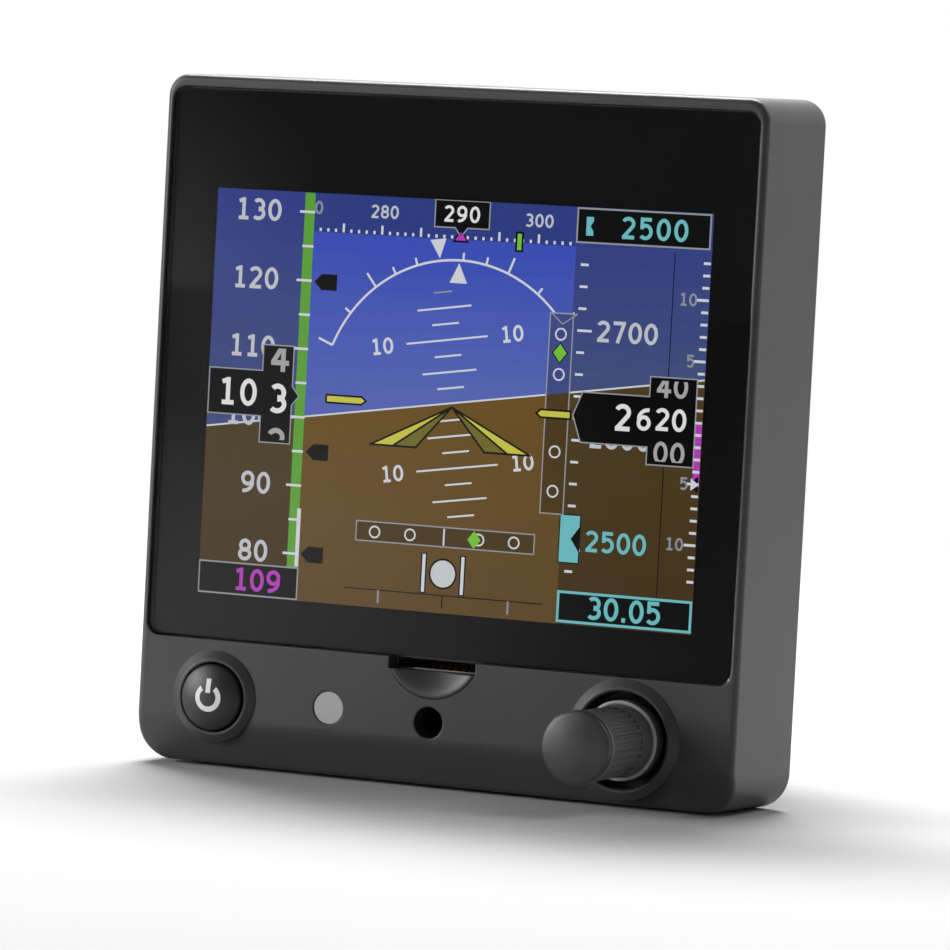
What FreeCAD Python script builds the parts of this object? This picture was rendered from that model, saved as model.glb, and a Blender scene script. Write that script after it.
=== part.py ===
import FreeCAD, Part
import math
import os
import Sketcher

# Panel-mounted electronic attitude indicator.
# Frame: +X to the pilot's right, +Z up, -Y towards the pilot, in millimetres. The origin is the centre
# of the bezel's rear face, which seats on the instrument panel, on the axis of the round register.

V = FreeCAD.Vector

# ------------------------------------------------------------------ driving dimensions
SIZES = {
    # bezel: a moulding with draft, a corner radius at the head and a larger one at the foot
    "bezelWide": 86.4,
    "bezelTall": 91.4,
    "bezelDeep": 18.2,
    "bezelDraft": 1.6,
    "headCorner": 3.4,
    "footCorner": 4.8,
    "frontRound": 0.8,
    "bezelWall": 3.4,
    "bossRoot": 0.3,
    "cutSpare": 1.0,
    "chinWall": 2.6,
    "cavityDeep": 13.6,
    "chinTall": 17.05,
    "chinCavityUp": 14.7,
    "chinSlopeUp": 6.8,
    "chinSlopeAngle": 18.0,
    "chinSlopeRound": 5.5,
    # display window
    "glassSide": 1.55,
    "glassHead": 2.25,
    "glassThick": 1.1,
    "glassCorner": 1.7,
    "glassGap": 0.18,
    "glassInset": 0.3,
    "glassRound": 0.12,
    "gasketThick": 0.3,
    "gasketEdge": 0.5,
    "panelSide": 3.45,
    "panelHead": 9.05,
    "panelFoot": 3.05,
    "panelThick": 1.5,
    "panelGap": 0.3,
    "bondGap": 0.05,
    "activeSide": 2.1,
    "activeHead": 3.1,
    "activeFoot": 1.9,
    "activeAcross": 0.2,
    "polariserThick": 0.2,
    "lampLipWide": 1.2,
    "lampLipThick": 0.9,
    # power key
    "keyIn": 12.0,
    "keyUp": 9.4,
    "keyRadius": 4.35,
    "keyGap": 0.22,
    "keyDome": 0.95,
    "keyProud": 0.4,
    "keyFlange": 5.2,
    "keyFlangeThick": 0.8,
    "keyStem": 1.6,
    "keyTravel": 0.6,
    "collarRing": 1.45,
    "collarTall": 0.7,
    "collarRound": 0.3,
    "collarSlopeTall": 0.6,
    "collarSlopeWide": 1.05,
    "collarLip": 0.2,
    "switchSide": 6.2,
    "switchTall": 3.5,
    "plungerRadius": 1.2,
    # light-sensor window
    "lightFromKey": 16.7,
    "lightRadius": 2.1,
    "lightFlange": 2.7,
    "lightInset": 0.1,
    # memory-card slot
    "slotWide": 12.4,
    "slotTall": 1.55,
    "slotAcross": 0.1,
    "socketWide": 14.2,
    "socketTall": 1.9,
    "socketBack": 3.9,
    "socketSkin": 0.25,
    "contactPitch": 1.1,
    "contactWide": 0.62,
    "contactShift": 0.4,
    "scoopSphere": 12.0,
    "scoopRise": 3.48,
    "scoopRadius": 6.9,
    # captive mounting screw, 6-32
    "screwUp": 8.7,
    "screwRadius": 1.75,
    "screwShank": 1.35,
    "screwHead": 2.87,
    "screwHeadTall": 3.5,
    "screwKeyFlats": 2.38,
    "screwKeyDeep": 1.9,
    "screwReach": 15.0,
    "screwAccess": 2.05,
    "screwSleeve": 4.7,
    "screwBore": 3.15,
    "screwHole": 1.95,
    "retainerThick": 0.8,
    # knob on its push-and-turn encoder
    "knobIn": 15.8,
    "knobUp": 8.9,
    "wellRadius": 6.3,
    "wellDeep": 3.8,
    "wellFloor": 2.0,
    "wellWall": 1.7,
    "skirtRadius": 5.15,
    "skirtProud": 1.0,
    "knobRadius": 4.55,
    "fluteStart": 4.0,
    "fluteLong": 8.6,
    "fluteCount": 30,
    "fluteRadius": 0.34,
    "knobProud": 13.4,
    "capRadius": 4.7,
    "capTall": 1.1,
    "capDome": 0.6,
    "capRound": 0.5,
    "capGroove": 0.3,
    "shaftRadius": 3.0,
    "shaftFlat": 1.5,
    "shaftGap": 0.05,
    "bushRadius": 3.5,
    "encoderSide": 10.8,
    "encoderGap": 0.2,
    "nutFlats": 9.5,
    "nutTall": 1.6,
    "washerThick": 0.4,
    "pushTravel": 0.5,
    "plungerThick": 1.0,
    # boards
    "boardGap": 0.8,
    "boardThick": 1.6,
    "boardFront": 6.8,
    "boardBoss": 2.4,
    "boardBossAcross": 15.0,
    "boardBossIn": 6.7,
    "footBossAcross": 9.0,
    "sensorBoardGap": 1.5,
    "sensorBoardFront": 12.0,
    "sensorBossSide": 3.5,
    "sensorBossEnd": 4.0,
    "ribbonWide": 13.85,
    "ribbonBow": 9.24,
    "ribbonSocketWide": 15.85,
    "ribbonSocketTall": 4.0,
    "ribbonSocketDeep": 2.0,
    # rear housing, die cast
    "plateThick": 3.2,
    "plateGap": 0.15,
    "plateLedge": 1.0,
    "sealThick": 0.4,
    "registerRadius": 39.3,
    "registerLong": 2.6,
    "housingSide": 13.2,
    "housingEnds": 12.7,
    "housingCorner": 14.0,
    "housingDeep": 25.6,
    "housingWall": 3.0,
    "housingRound": 1.5,
    "coolPitch": 4.4,
    "coolWide": 1.8,
    "coolDeep": 1.2,
    "coolStart": 6.0,
    "headScrewIn": 7.7,
    "footScrewKey": 8.7,
    "footScrewKnob": 9.8,
    "screwRowIn": 6.9,
    "housingBoss": 2.7,
    "smallScrew": 1.2,
    "smallHead": 2.3,
    "smallHeadTall": 1.7,
    "smallKeyFlats": 1.8,
    "threadGap": 0.05,
    "pilotDeep": 6.0,
    # ports
    "portIn": 11.0,
    "pitotIn": 15.0,
    "staticHeight": 0.0,
    "portRadius": 6.8,
    "portProud": 10.0,
    "portHexTall": 6.0,
    "portBore": 4.25,
    "portBoreDeep": 9.0,
    "portShank": 4.0,
    "barbRadius": 1.2,
    "barbBore": 0.6,
    "hoseWall": 0.8,
    "sensorRadius": 4.2,
    "sensorTall": 4.0,
    # antenna jack
    "jackUp": 16.0,
    "jackRadius": 3.2,
    "jackProud": 5.2,
    "jackBore": 1.75,
    # nine-pin connector
    "plugAcross": -5.0,
    "plugUp": 9.0,
    "plugFlangeWide": 30.8,
    "plugFlangeTall": 12.5,
    "plugFlangeThick": 1.0,
    "plugShellWide": 16.9,
    "plugShellTall": 8.4,
    "plugShellDeep": 6.0,
    "plugSkin": 0.45,
    "plugSlant": 10.0,
    "plugCorner": 2.2,
    "pinPitch": 2.77,
    "pinRow": 2.84,
    "pinRadius": 0.5,
    "pinRecess": 0.9,
    "jackScrewSpan": 24.99,
    "jackScrewFlats": 4.75,
    "jackScrewTall": 4.8,
    "jackScrewDeep": 4.32,
    "jackScrewThread": 1.42,
    # backup battery pack
    "packSide": 2.0,
    "packPortGap": 9.0,
    "packHead": 3.0,
    "packFoot": 19.0,
    "packCorner": 8.0,
    "packDeep": 15.6,
    "packWall": 2.0,
    "packEnd": 6.4,
    "coverThick": 2.9,
    "coverGap": 0.2,
    "coverRound": 0.9,
    "packScrewSide": 6.0,
    "packScrewEnd": 3.4,
}

document = FreeCAD.newDocument("attitude_indicator")
sheet = document.addObject("Spreadsheet::Sheet", "Sizes")
for row, (alias, number) in enumerate(SIZES.items(), start=1):
    sheet.set(f"A{row}", alias)
    sheet.set(f"B{row}", str(number))
    sheet.setAlias(f"B{row}", alias)
document.recompute()


# ------------------------------------------------------------------ sizes with their formulas
class Size:
    """A length or angle together with the formula that ties it to the sheet."""

    def __init__(self, value, formula):
        self.value = value
        self.formula = formula

    def __add__(self, other):
        other = as_size(other)
        return Size(self.value + other.value, f"({self.formula} + {other.formula})")

    def __radd__(self, other):
        return as_size(other) + self

    def __sub__(self, other):
        other = as_size(other)
        return Size(self.value - other.value, f"({self.formula} - {other.formula})")

    def __rsub__(self, other):
        return as_size(other) - self

    def __mul__(self, other):
        other = as_size(other)
        return Size(self.value * other.value, f"({self.formula} * {other.formula})")

    def __rmul__(self, other):
        return as_size(other) * self

    def __truediv__(self, other):
        other = as_size(other)
        return Size(self.value / other.value, f"({self.formula} / {other.formula})")

    def __neg__(self):
        return Size(-self.value, f"(-1 * {self.formula})")


def as_size(item):
    if isinstance(item, Size):
        return item
    return Size(float(item), f"({float(item)})")


def sine(angle):
    return Size(math.sin(math.radians(angle.value)), f"sin({angle.formula} * 1 deg)")


def cosine(angle):
    return Size(math.cos(math.radians(angle.value)), f"cos({angle.formula} * 1 deg)")


def root(item):
    return Size(math.sqrt(item.value), f"sqrt({item.formula})")


class Sheet:
    """Each alias of the sheet as a Size: s.bezelWide, s.bezelTall and so on."""

    def __getattr__(self, alias):
        return Size(float(sheet.get(alias)), f"Sizes.{alias}")


s = Sheet()


def bind(thing, path, item):
    thing.setExpression(path, as_size(item).formula)


# ------------------------------------------------------------------ sketches
def origin_part(owner, role):
    return next(f for f in owner.Origin.OriginFeatures if f.Role == role)


def sketch(owner, plane, offset=0):
    """A sketch on one of the body's origin planes, moved along the plane's normal by offset.

    On XZ, across is +X, up is +Z and the normal is -Y. On YZ, across is +Y, up is +Z and the normal +X.
    """
    made = owner.newObject("Sketcher::SketchObject", f"{owner.Name}_sketch")
    made.AttachmentSupport = [(origin_part(owner, f"{plane}_Plane"), "")]
    made.MapMode = "FlatFace"
    bind(made, "AttachmentOffset.Base.z", offset)
    return made


def pin(where, edge, end, across, up):
    """Tie one point of a sketch's edge to the sketch's origin."""
    for kind, axis, item in (("DistanceX", -2, across), ("DistanceY", -1, up)):
        item = as_size(item)
        if item.formula == "(0.0)":
            where.addConstraint(Sketcher.Constraint("PointOnObject", edge, end, axis))
            continue
        number = where.addConstraint(Sketcher.Constraint(kind, -1, 1, edge, end, item.value))
        bind(where, f"Constraints[{number}]", item)


def radius(where, edge, item):
    number = where.addConstraint(Sketcher.Constraint("Radius", edge, item.value))
    bind(where, f"Constraints[{number}]", item)


def circle(where, across, up, size):
    across, up, size = as_size(across), as_size(up), as_size(size)
    edge = where.addGeometry(Part.Circle(V(across.value, up.value, 0), V(0, 0, 1), size.value), False)
    pin(where, edge, 3, across, up)
    radius(where, edge, size)


def outline(where, points, arcs=None):
    """A closed outline whose corners are each tied to the sketch's origin.

    Runs are straight, unless arcs gives the run's number a radius: positive with the centre to the left
    of the way the outline goes, negative with the centre to the right.
    """
    arcs = arcs or {}
    spots = [(as_size(across), as_size(up)) for across, up in points]
    runs = []
    for number, (start, stop) in enumerate(zip(spots, spots[1:] + spots[:1])):
        a, b = (V(across.value, up.value, 0) for across, up in (start, stop))
        if number not in arcs:
            runs.append((where.addGeometry(Part.LineSegment(a, b), False), 1, 2))
            continue
        size = arcs[number]
        chord = b - a
        rise = math.sqrt(size.value**2 - (chord.Length / 2) ** 2)
        centre = (a + b) / 2 + V(-chord.y, chord.x, 0).normalize() * math.copysign(rise, size.value)
        sweep = [math.atan2(spot.y - centre.y, spot.x - centre.x) for spot in (a, b)]
        ends = (1, 2)
        if size.value < 0:
            size = -size
            sweep.reverse()
            ends = (2, 1)
        round_line = Part.Circle(centre, V(0, 0, 1), size.value)
        edge = where.addGeometry(Part.ArcOfCircle(round_line, *sweep), False)
        radius(where, edge, size)
        runs.append((edge, *ends))
    for (edge, first, last), (following, begin, end) in zip(runs, runs[1:] + runs[:1]):
        where.addConstraint(Sketcher.Constraint("Coincident", edge, last, following, begin))
    for (edge, first, last), (across, up) in zip(runs, spots):
        pin(where, edge, first, across, up)


def rectangle(where, left, low, right, high):
    outline(where, [(left, low), (right, low), (right, high), (left, high)])


def rounded_rectangle(where, middle, wide, tall, head, foot=None):
    """A rectangle about the point middle, with the corner radius head above and foot below."""
    foot = head if foot is None else foot
    across, up = (as_size(item) for item in middle)
    right, high = across + wide / 2, up + tall / 2
    left, low = across - wide / 2, up - tall / 2
    corners = [
        (right - head, high - head, head, 0),
        (left + head, high - head, head, 90),
        (left + foot, low + foot, foot, 180),
        (right - foot, low + foot, foot, 270),
    ]
    arcs = []
    for x, y, size, start in corners:
        round_line = Part.Circle(V(x.value, y.value, 0), V(0, 0, 1), size.value)
        sweep = (math.radians(start), math.radians(start + 90))
        arcs.append(where.addGeometry(Part.ArcOfCircle(round_line, *sweep), False))
    for arc, following in zip(arcs, arcs[1:] + arcs[:1]):
        ends = [where.getPoint(arc, 2), where.getPoint(following, 1)]
        line = where.addGeometry(Part.LineSegment(*ends), False)
        where.addConstraint(Sketcher.Constraint("Tangent", arc, 2, line, 1))
        where.addConstraint(Sketcher.Constraint("Tangent", line, 2, following, 1))
    for arc, (x, y, size, start) in zip(arcs, corners):
        pin(where, arc, 3, x, y)
        radius(where, arc, size)


def hexagon(where, flats):
    """A hexagon about the sketch's origin, by its width across flats, points to the sides."""
    reach = flats / (2 * cosine(as_size(30)))
    corners = [as_size(60 * number) for number in range(6)]
    outline(where, [(reach * cosine(angle), reach * sine(angle)) for angle in corners])


# ------------------------------------------------------------------ features
def body(label, across=0, along=0, up=0):
    made = document.addObject("PartDesign::Body", label)
    made.Label = label
    for axis, item in zip("xyz", (across, along, up)):
        bind(made, f"Placement.Base.{axis}", item)
    return made


def volume(owner):
    document.recompute()
    return owner.Shape.Volume


def pad(owner, where, length, backwards=False, taper=None):
    """Material from the sketch towards the pilot, or away from the pilot if backwards."""
    made = owner.newObject("PartDesign::Pad", f"{owner.Name}_pad")
    made.Profile = where
    made.Reversed = backwards
    bind(made, "Length", length)
    if taper is not None:
        bind(made, "TaperAngle", taper)
    return made


def pocket(owner, where, length=None, forwards=False, both=False):
    """A cut from the sketch away from the pilot, or towards the pilot if forwards."""
    before = volume(owner)
    made = owner.newObject("PartDesign::Pocket", f"{owner.Name}_pocket")
    made.Profile = where
    made.Reversed = forwards
    made.Midplane = both
    if length is None:
        made.Type = "ThroughAll"
    else:
        bind(made, "Length", length)
    if volume(owner) >= before:
        raise RuntimeError(f"{made.Name} cuts nothing")
    return made


def turned(owner, points, arcs=None):
    """A solid of revolution about the body's own Y axis, from a profile of (along Y, radius) points."""
    where = sketch(owner, "YZ")
    outline(where, points, arcs)
    made = owner.newObject("PartDesign::Revolution", f"{owner.Name}_turned")
    made.Profile = where
    made.ReferenceAxis = (where, ["H_Axis"])
    made.Angle = 360
    return made


def rounded(owner, base, size, chosen, label="round", kind="Fillet"):
    """A fillet or chamfer on the edges of base that chosen picks."""
    document.recompute()
    names = [f"Edge{number}" for number, edge in enumerate(base.Shape.Edges, start=1) if chosen(edge)]
    made = owner.newObject(f"PartDesign::{kind}", f"{owner.Name}_{label}")
    made.Base = (base, names)
    bind(made, "Radius" if kind == "Fillet" else "Size", size)
    return made


def near(number, target, slack=0.01):
    return abs(number - as_size(target).value) < slack


def flat_at(edge, along):
    """True for an edge that lies in the plane Y = along."""
    box = edge.BoundBox
    return near(box.YMin, along) and near(box.YMax, along)


def ring_of(edge, size, along):
    """True for a circle of the radius size in the plane Y = along."""
    return flat_at(edge, along) and hasattr(edge.Curve, "Radius") and near(edge.Curve.Radius, size)


def group(label, members):
    """One node made of several separate solids."""
    made = document.addObject("Part::Compound", label)
    made.Label = label
    made.Links = members
    return made


def block(name, left, front, low, wide, deep, tall):
    made = document.addObject("Part::Box", name)
    made.Label = name
    for path, item in (("Length", wide), ("Width", deep), ("Height", tall)):
        bind(made, path, item)
    for axis, item in zip("xyz", (left, front, low)):
        bind(made, f"Placement.Base.{axis}", item)
    return made


def rod(name, across, front, up, size, long):
    """A round bar along Y, from front towards the back."""
    made = document.addObject("Part::Cylinder", name)
    made.Label = name
    bind(made, "Radius", size)
    bind(made, "Height", long)
    made.Placement.Rotation = FreeCAD.Rotation(V(1, 0, 0), -90)
    for axis, item in zip("xyz", (across, front, up)):
        bind(made, f"Placement.Base.{axis}", item)
    return made


# ------------------------------------------------------------------ shared planes and places
half_wide = s.bezelWide / 2
half_tall = s.bezelTall / 2
glass_wide = s.bezelWide - 2 * s.glassSide
glass_tall = s.bezelTall - s.glassHead - s.chinTall
glass_middle = (s.chinTall - s.glassHead) / 2
panel_wide = glass_wide - 2 * s.panelSide
panel_tall = glass_tall - s.panelHead - s.panelFoot
panel_middle = glass_middle + (s.panelFoot - s.panelHead) / 2
active_wide = panel_wide - 2 * s.activeSide
active_tall = panel_tall - s.activeHead - s.activeFoot
active_middle = panel_middle + (s.activeFoot - s.activeHead) / 2
key_across = s.keyIn - half_wide
key_height = s.keyUp - half_tall
light_across = key_across + s.lightFromKey
knob_across = half_wide - s.knobIn
knob_height = s.knobUp - half_tall
screw_height = s.screwUp - half_tall
chin_cavity_top = s.chinCavityUp - half_tall
chin_slope_top = s.chinSlopeUp - half_tall
board_wide = s.bezelWide - 2 * s.bezelWall - 2 * s.boardGap
board_tall = s.bezelTall - 2 * s.bezelWall - 2 * s.boardGap
housing_wide = s.bezelWide - 2 * s.housingSide
housing_tall = s.bezelTall - 2 * s.housingEnds
sensor_board_wide = housing_wide - 2 * s.housingWall - 2 * s.sensorBoardGap
sensor_board_tall = housing_tall - 2 * s.housingWall - 2 * s.sensorBoardGap
port_across = housing_wide / 2 - s.portIn
pitot_height = housing_tall / 2 - s.pitotIn
jack_height = s.jackUp - housing_tall / 2
plug_height = s.plugUp - housing_tall / 2
pack_wide = port_across - s.packPortGap + housing_wide / 2 - s.packSide
pack_tall = housing_tall - s.packHead - s.packFoot
pack_across = (port_across - s.packPortGap - housing_wide / 2 + s.packSide) / 2
pack_height = (s.packFoot - s.packHead) / 2
front = -s.bezelDeep
glass_front = front + s.glassInset
glass_back = glass_front + s.glassThick
ledge = glass_back + s.gasketThick
cavity_front = -s.cavityDeep
chin_back = front + s.chinWall
plate_front = -s.plateThick
seal_front = plate_front - s.sealThick
board_front = -s.boardFront
board_back = board_front + s.boardThick
collar_front = front - s.collarTall
well_floor = front + s.wellDeep
well_back = well_floor + s.wellFloor
slot_high = glass_middle - glass_tall / 2 - s.glassGap
slot_middle = slot_high - s.slotTall / 2
housing_back = s.housingDeep
housing_inside = housing_back - s.housingWall
plate_wall = s.bezelWall - s.plateLedge
screw_row = half_tall - s.screwRowIn
boss_row = half_tall - s.boardBossIn
screw_side = half_wide - s.headScrewIn
head_screws = [(-screw_side, screw_row), (screw_side, screw_row)]
foot_screws = [(key_across + s.footScrewKey, -screw_row), (knob_across - s.footScrewKnob, -screw_row)]
head_bosses = [(-s.boardBossAcross, boss_row), (s.boardBossAcross, boss_row)]
foot_bosses = [(-s.footBossAcross, -screw_row), (s.footBossAcross, -screw_row)]
corners = [(x, z) for x in (-1, 1) for z in (-1, 1)]
sensor_boss_across = sensor_board_wide / 2 - s.sensorBossSide
sensor_boss_height = sensor_board_tall / 2 - s.sensorBossEnd
sensor_bosses = [(x * sensor_boss_across, z * sensor_boss_height) for x, z in corners]
pack_screw_across = pack_wide / 2 - s.packScrewSide
pack_screw_height = pack_tall / 2 - s.packScrewEnd
pack_screws = [(x * pack_screw_across, z * pack_screw_height) for x, z in corners]

# ------------------------------------------------------------------ bezel
bezel = body("bezel")
where = sketch(bezel, "XZ")
rounded_rectangle(where, (0, 0), s.bezelWide, s.bezelTall, s.headCorner, s.footCorner)
pad(bezel, where, s.bezelDeep, taper=-s.bezelDraft)

# the chin's foot curves back from the front face
slope_low = -half_tall - s.cutSpare
bend = (
    front + s.chinSlopeRound * (1 - cosine(s.chinSlopeAngle)),
    chin_slope_top - s.chinSlopeRound * sine(s.chinSlopeAngle),
)
slope_foot = bend[0] + (bend[1] - slope_low) * sine(s.chinSlopeAngle) / cosine(s.chinSlopeAngle)
where = sketch(bezel, "YZ")
ahead = front - s.cutSpare
slope = [(ahead, chin_slope_top), (front, chin_slope_top), bend, (slope_foot, slope_low), (ahead, slope_low)]
outline(where, slope, {1: s.chinSlopeRound})
slope_cut = pocket(bezel, where, both=True)


def on_front_rim(edge):
    """The edges all round the front, without the creases that cross it."""
    box = edge.BoundBox
    crease = box.ZLength < 0.01 and -box.ZMin < half_tall.value - s.footCorner.value / 2
    on_head = box.ZMin > 0
    return box.YLength < s.bezelDeep.value / 2 and not flat_at(edge, 0) and (on_head or not crease)


rounded(bezel, slope_cut, s.frontRound, on_front_rim, "front_round")

# raised collars round the key and the knob
collars = [(key_across, key_height, s.keyRadius + s.keyGap), (knob_across, knob_height, s.wellRadius)]
for x, z, size in collars:
    where = sketch(bezel, "XZ", -chin_back)
    circle(where, x, z, size + s.collarRing)
    pad(bezel, where, chin_back - collar_front)

# recess for the cover glass, opening for the display
where = sketch(bezel, "XZ", s.bezelDeep)
glass_room = (glass_wide + 2 * s.glassGap, glass_tall + 2 * s.glassGap)
rounded_rectangle(where, (0, glass_middle), *glass_room, s.glassCorner + s.glassGap)
pocket(bezel, where, ledge - front)
where = sketch(bezel, "XZ", s.bezelDeep)
panel_room = (panel_wide + 2 * s.panelGap, panel_tall + 2 * s.panelGap)
rounded_rectangle(where, (0, panel_middle), *panel_room, s.panelGap + s.panelGap)
pocket(bezel, where)

# hollow back: a step for the rear plate, the cavity for the boards, the deeper chin and the socket's bay
for wall, deep, corner in (
    (plate_wall, s.plateThick + s.sealThick, s.headCorner - plate_wall),
    (s.bezelWall, s.cavityDeep, s.headCorner - plate_wall),
):
    where = sketch(bezel, "XZ")
    rounded_rectangle(where, (0, 0), s.bezelWide - 2 * wall, s.bezelTall - 2 * wall, corner)
    pocket(bezel, where, deep, forwards=True)
chin_side = half_wide - s.bezelWall
chin_low = s.bezelWall - half_tall
where = sketch(bezel, "XZ")
rectangle(where, -chin_side, chin_low, chin_side, chin_cavity_top)
pocket(bezel, where, -chin_back, forwards=True)
bay_side = s.socketWide / 2 + s.panelGap
bay_high = slot_middle + s.socketTall / 2 + s.panelGap / 2
where = sketch(bezel, "XZ")
rectangle(where, s.slotAcross - bay_side, chin_cavity_top - s.cutSpare, s.slotAcross + bay_side, bay_high)
pocket(bezel, where, -chin_back, forwards=True)

# bosses for the housing screws, the board and the captive screw, and the floor of the knob's well
for (x, z), size, back, reach in (
    [(spot, s.housingBoss, seal_front, cavity_front) for spot in head_screws]
    + [(spot, s.housingBoss, seal_front, chin_back) for spot in foot_screws]
    + [(spot, s.boardBoss, board_front, cavity_front) for spot in head_bosses]
    + [(spot, s.boardBoss, board_front, chin_back) for spot in foot_bosses]
    + [((0, screw_height), s.screwSleeve, seal_front, chin_back)]
    + [((knob_across, knob_height), s.wellRadius + s.wellWall, well_back, chin_back)]
):
    where = sketch(bezel, "XZ", -back)
    circle(where, x, z, size)
    pad(bezel, where, back - reach + s.bossRoot)

# holes, cut from the front: key, light, access to the captive screw, well and encoder bush
where = sketch(bezel, "XZ", -collar_front)
circle(where, knob_across, knob_height, s.wellRadius)
pocket(bezel, where, well_floor - collar_front)
key_through = chin_back - collar_front + s.cutSpare
well_through = well_back - collar_front + s.cutSpare
for x, z, size, deep in (
    (key_across, key_height, s.keyRadius + s.keyGap, key_through),
    (light_across, key_height, s.lightRadius + s.threadGap, key_through),
    (0, screw_height, s.screwAccess, key_through),
    (knob_across, knob_height, s.bushRadius + s.threadGap, well_through),
):
    where = sketch(bezel, "XZ", -collar_front)
    circle(where, x, z, size)
    pocket(bezel, where, deep)

# holes, cut from the back: the captive screw's bore and the screws' pilot holes
where = sketch(bezel, "XZ", -seal_front)
circle(where, 0, screw_height, s.screwBore)
pocket(bezel, where, seal_front - chin_back, forwards=True)
pilot = s.smallScrew + s.threadGap
for spots, back in ((head_screws + foot_screws, seal_front), (head_bosses + foot_bosses, board_front)):
    where = sketch(bezel, "XZ", -back)
    for x, z in spots:
        circle(where, x, z, pilot)
    pocket(bezel, where, s.pilotDeep, forwards=True)

# memory-card slot and the finger scoop under it
slot_left = s.slotAcross - s.slotWide / 2
where = sketch(bezel, "XZ", s.bezelDeep)
rectangle(where, slot_left, slot_high - s.slotTall, slot_left + s.slotWide, slot_high)
pocket(bezel, where, s.chinWall + s.cutSpare)
scoop_centre = front - root(s.scoopSphere * s.scoopSphere - s.scoopRadius * s.scoopRadius)
scoop_high = slot_high - s.slotTall
scoop_height = scoop_high + s.scoopRise
scoop_reach = root(s.scoopSphere * s.scoopSphere - s.scoopRise * s.scoopRise)
where = sketch(bezel, "YZ", s.slotAcross)
scoop = [
    (scoop_centre, scoop_high),
    (scoop_centre + scoop_reach, scoop_high),
    (scoop_centre, scoop_height - s.scoopSphere),
]
outline(where, scoop, {1: -s.scoopSphere})
before = volume(bezel)
scoop_cut = bezel.newObject("PartDesign::Groove", "bezel_scoop")
scoop_cut.Profile = where
scoop_cut.ReferenceAxis = (where, ["Edge3"])
scoop_cut.Angle = 360
if volume(bezel) >= before:
    raise RuntimeError("the scoop cuts nothing")


def on_collar_outside(edge):
    """The outer rims of both collars, on their front face."""
    return any(ring_of(edge, size + s.collarRing, collar_front) for x, z, size in collars)


def on_collar_inside(edge):
    """The rims of the key's hole and of the knob's well."""
    return any(ring_of(edge, size, collar_front) for x, z, size in collars)


slopes = rounded(bezel, scoop_cut, s.collarSlopeTall, on_collar_outside, "collar_slope", "Chamfer")
slopes.ChamferType = "Two distances"
bind(slopes, "Size2", s.collarSlopeWide)
rounded(bezel, slopes, s.collarLip, on_collar_inside, "collar_round")

# ------------------------------------------------------------------ display window
cover_glass = body("cover_glass")
where = sketch(cover_glass, "XZ", -glass_back)
rounded_rectangle(where, (0, glass_middle), glass_wide, glass_tall, s.glassCorner)
pane = pad(cover_glass, where, s.glassThick)
rounded(cover_glass, pane, s.glassRound, lambda edge: flat_at(edge, glass_front), "edge", "Chamfer")

glass_gasket = body("glass_gasket")
where = sketch(glass_gasket, "XZ", -ledge)
gasket_size = (glass_wide - 2 * s.gasketEdge, glass_tall - 2 * s.gasketEdge)
rounded_rectangle(where, (0, glass_middle), *gasket_size, s.glassCorner - s.gasketEdge)
rounded_rectangle(where, (0, panel_middle), *panel_room, s.panelGap + s.panelGap)
pad(glass_gasket, where, s.gasketThick)

panel_front = glass_back + s.bondGap
panel_back = panel_front + s.panelThick
display_panel = body("display_panel")
where = sketch(display_panel, "XZ", -panel_back)
rounded_rectangle(where, (0, panel_middle), panel_wide, panel_tall, s.panelGap)
pad(display_panel, where, s.panelThick - s.polariserThick)
where = sketch(display_panel, "XZ", -panel_front - s.polariserThick)
active = (s.activeAcross, active_middle)
rounded_rectangle(where, active, active_wide, active_tall, s.panelGap)
pad(display_panel, where, s.polariserThick)

lamp_back = cavity_front + s.lampLipThick
display_backlight = body("display_backlight")
where = sketch(display_backlight, "XZ", -lamp_back)
rounded_rectangle(where, (0, panel_middle), panel_wide, panel_tall, s.panelGap)
pad(display_backlight, where, lamp_back - panel_back)
where = sketch(display_backlight, "XZ", -lamp_back)
lip = 2 * s.lampLipWide
rounded_rectangle(where, (0, panel_middle), panel_wide + lip, panel_tall + lip, s.lampLipWide)
pad(display_backlight, where, s.lampLipThick)

# ------------------------------------------------------------------ power key and its switch
key_edge = collar_front - s.keyProud
flange_back = chin_back + s.keyTravel / 4 + s.keyFlangeThick
key_back = flange_back + s.keyFlangeThick * 2
power_key = body("power_key", key_across, 0, key_height)
turned(
    power_key,
    [
        (key_edge, 0),
        (key_edge, s.keyRadius),
        (flange_back - s.keyFlangeThick, s.keyRadius),
        (flange_back - s.keyFlangeThick, s.keyFlange),
        (flange_back, s.keyFlange),
        (flange_back, s.keyStem),
        (key_back, s.keyStem),
        (key_back, 0),
    ],
)
# the domed face: a cap of a sphere as high as keyDome
dome_sphere = (s.keyRadius * s.keyRadius / s.keyDome + s.keyDome) / 2
dome_profile = [(key_edge, 0), (key_edge - s.keyDome, 0), (key_edge, s.keyRadius)]
dome = turned(power_key, dome_profile, {1: -dome_sphere})
rounded(power_key, dome, s.collarRound, lambda edge: ring_of(edge, s.keyRadius, key_edge), "edge")

switch_front = board_front - s.switchTall
plunger_front = key_back + s.bondGap
plunger_back = switch_front + s.switchTall / 2
plunger_long = plunger_back - plunger_front
switch_plunger = rod("switch_plunger", key_across, plunger_front, key_height, s.plungerRadius, plunger_long)

power_switch = body("power_switch", key_across, 0, key_height)
where = sketch(power_switch, "XZ", s.boardFront)
rounded_rectangle(where, (0, 0), s.switchSide, s.switchSide, s.panelGap)
pad(power_switch, where, s.switchTall)
where = sketch(power_switch, "XZ", -switch_front)
circle(where, 0, 0, s.plungerRadius + s.threadGap)
pocket(power_switch, where, plunger_back - switch_front + s.keyTravel + s.threadGap)

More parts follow.
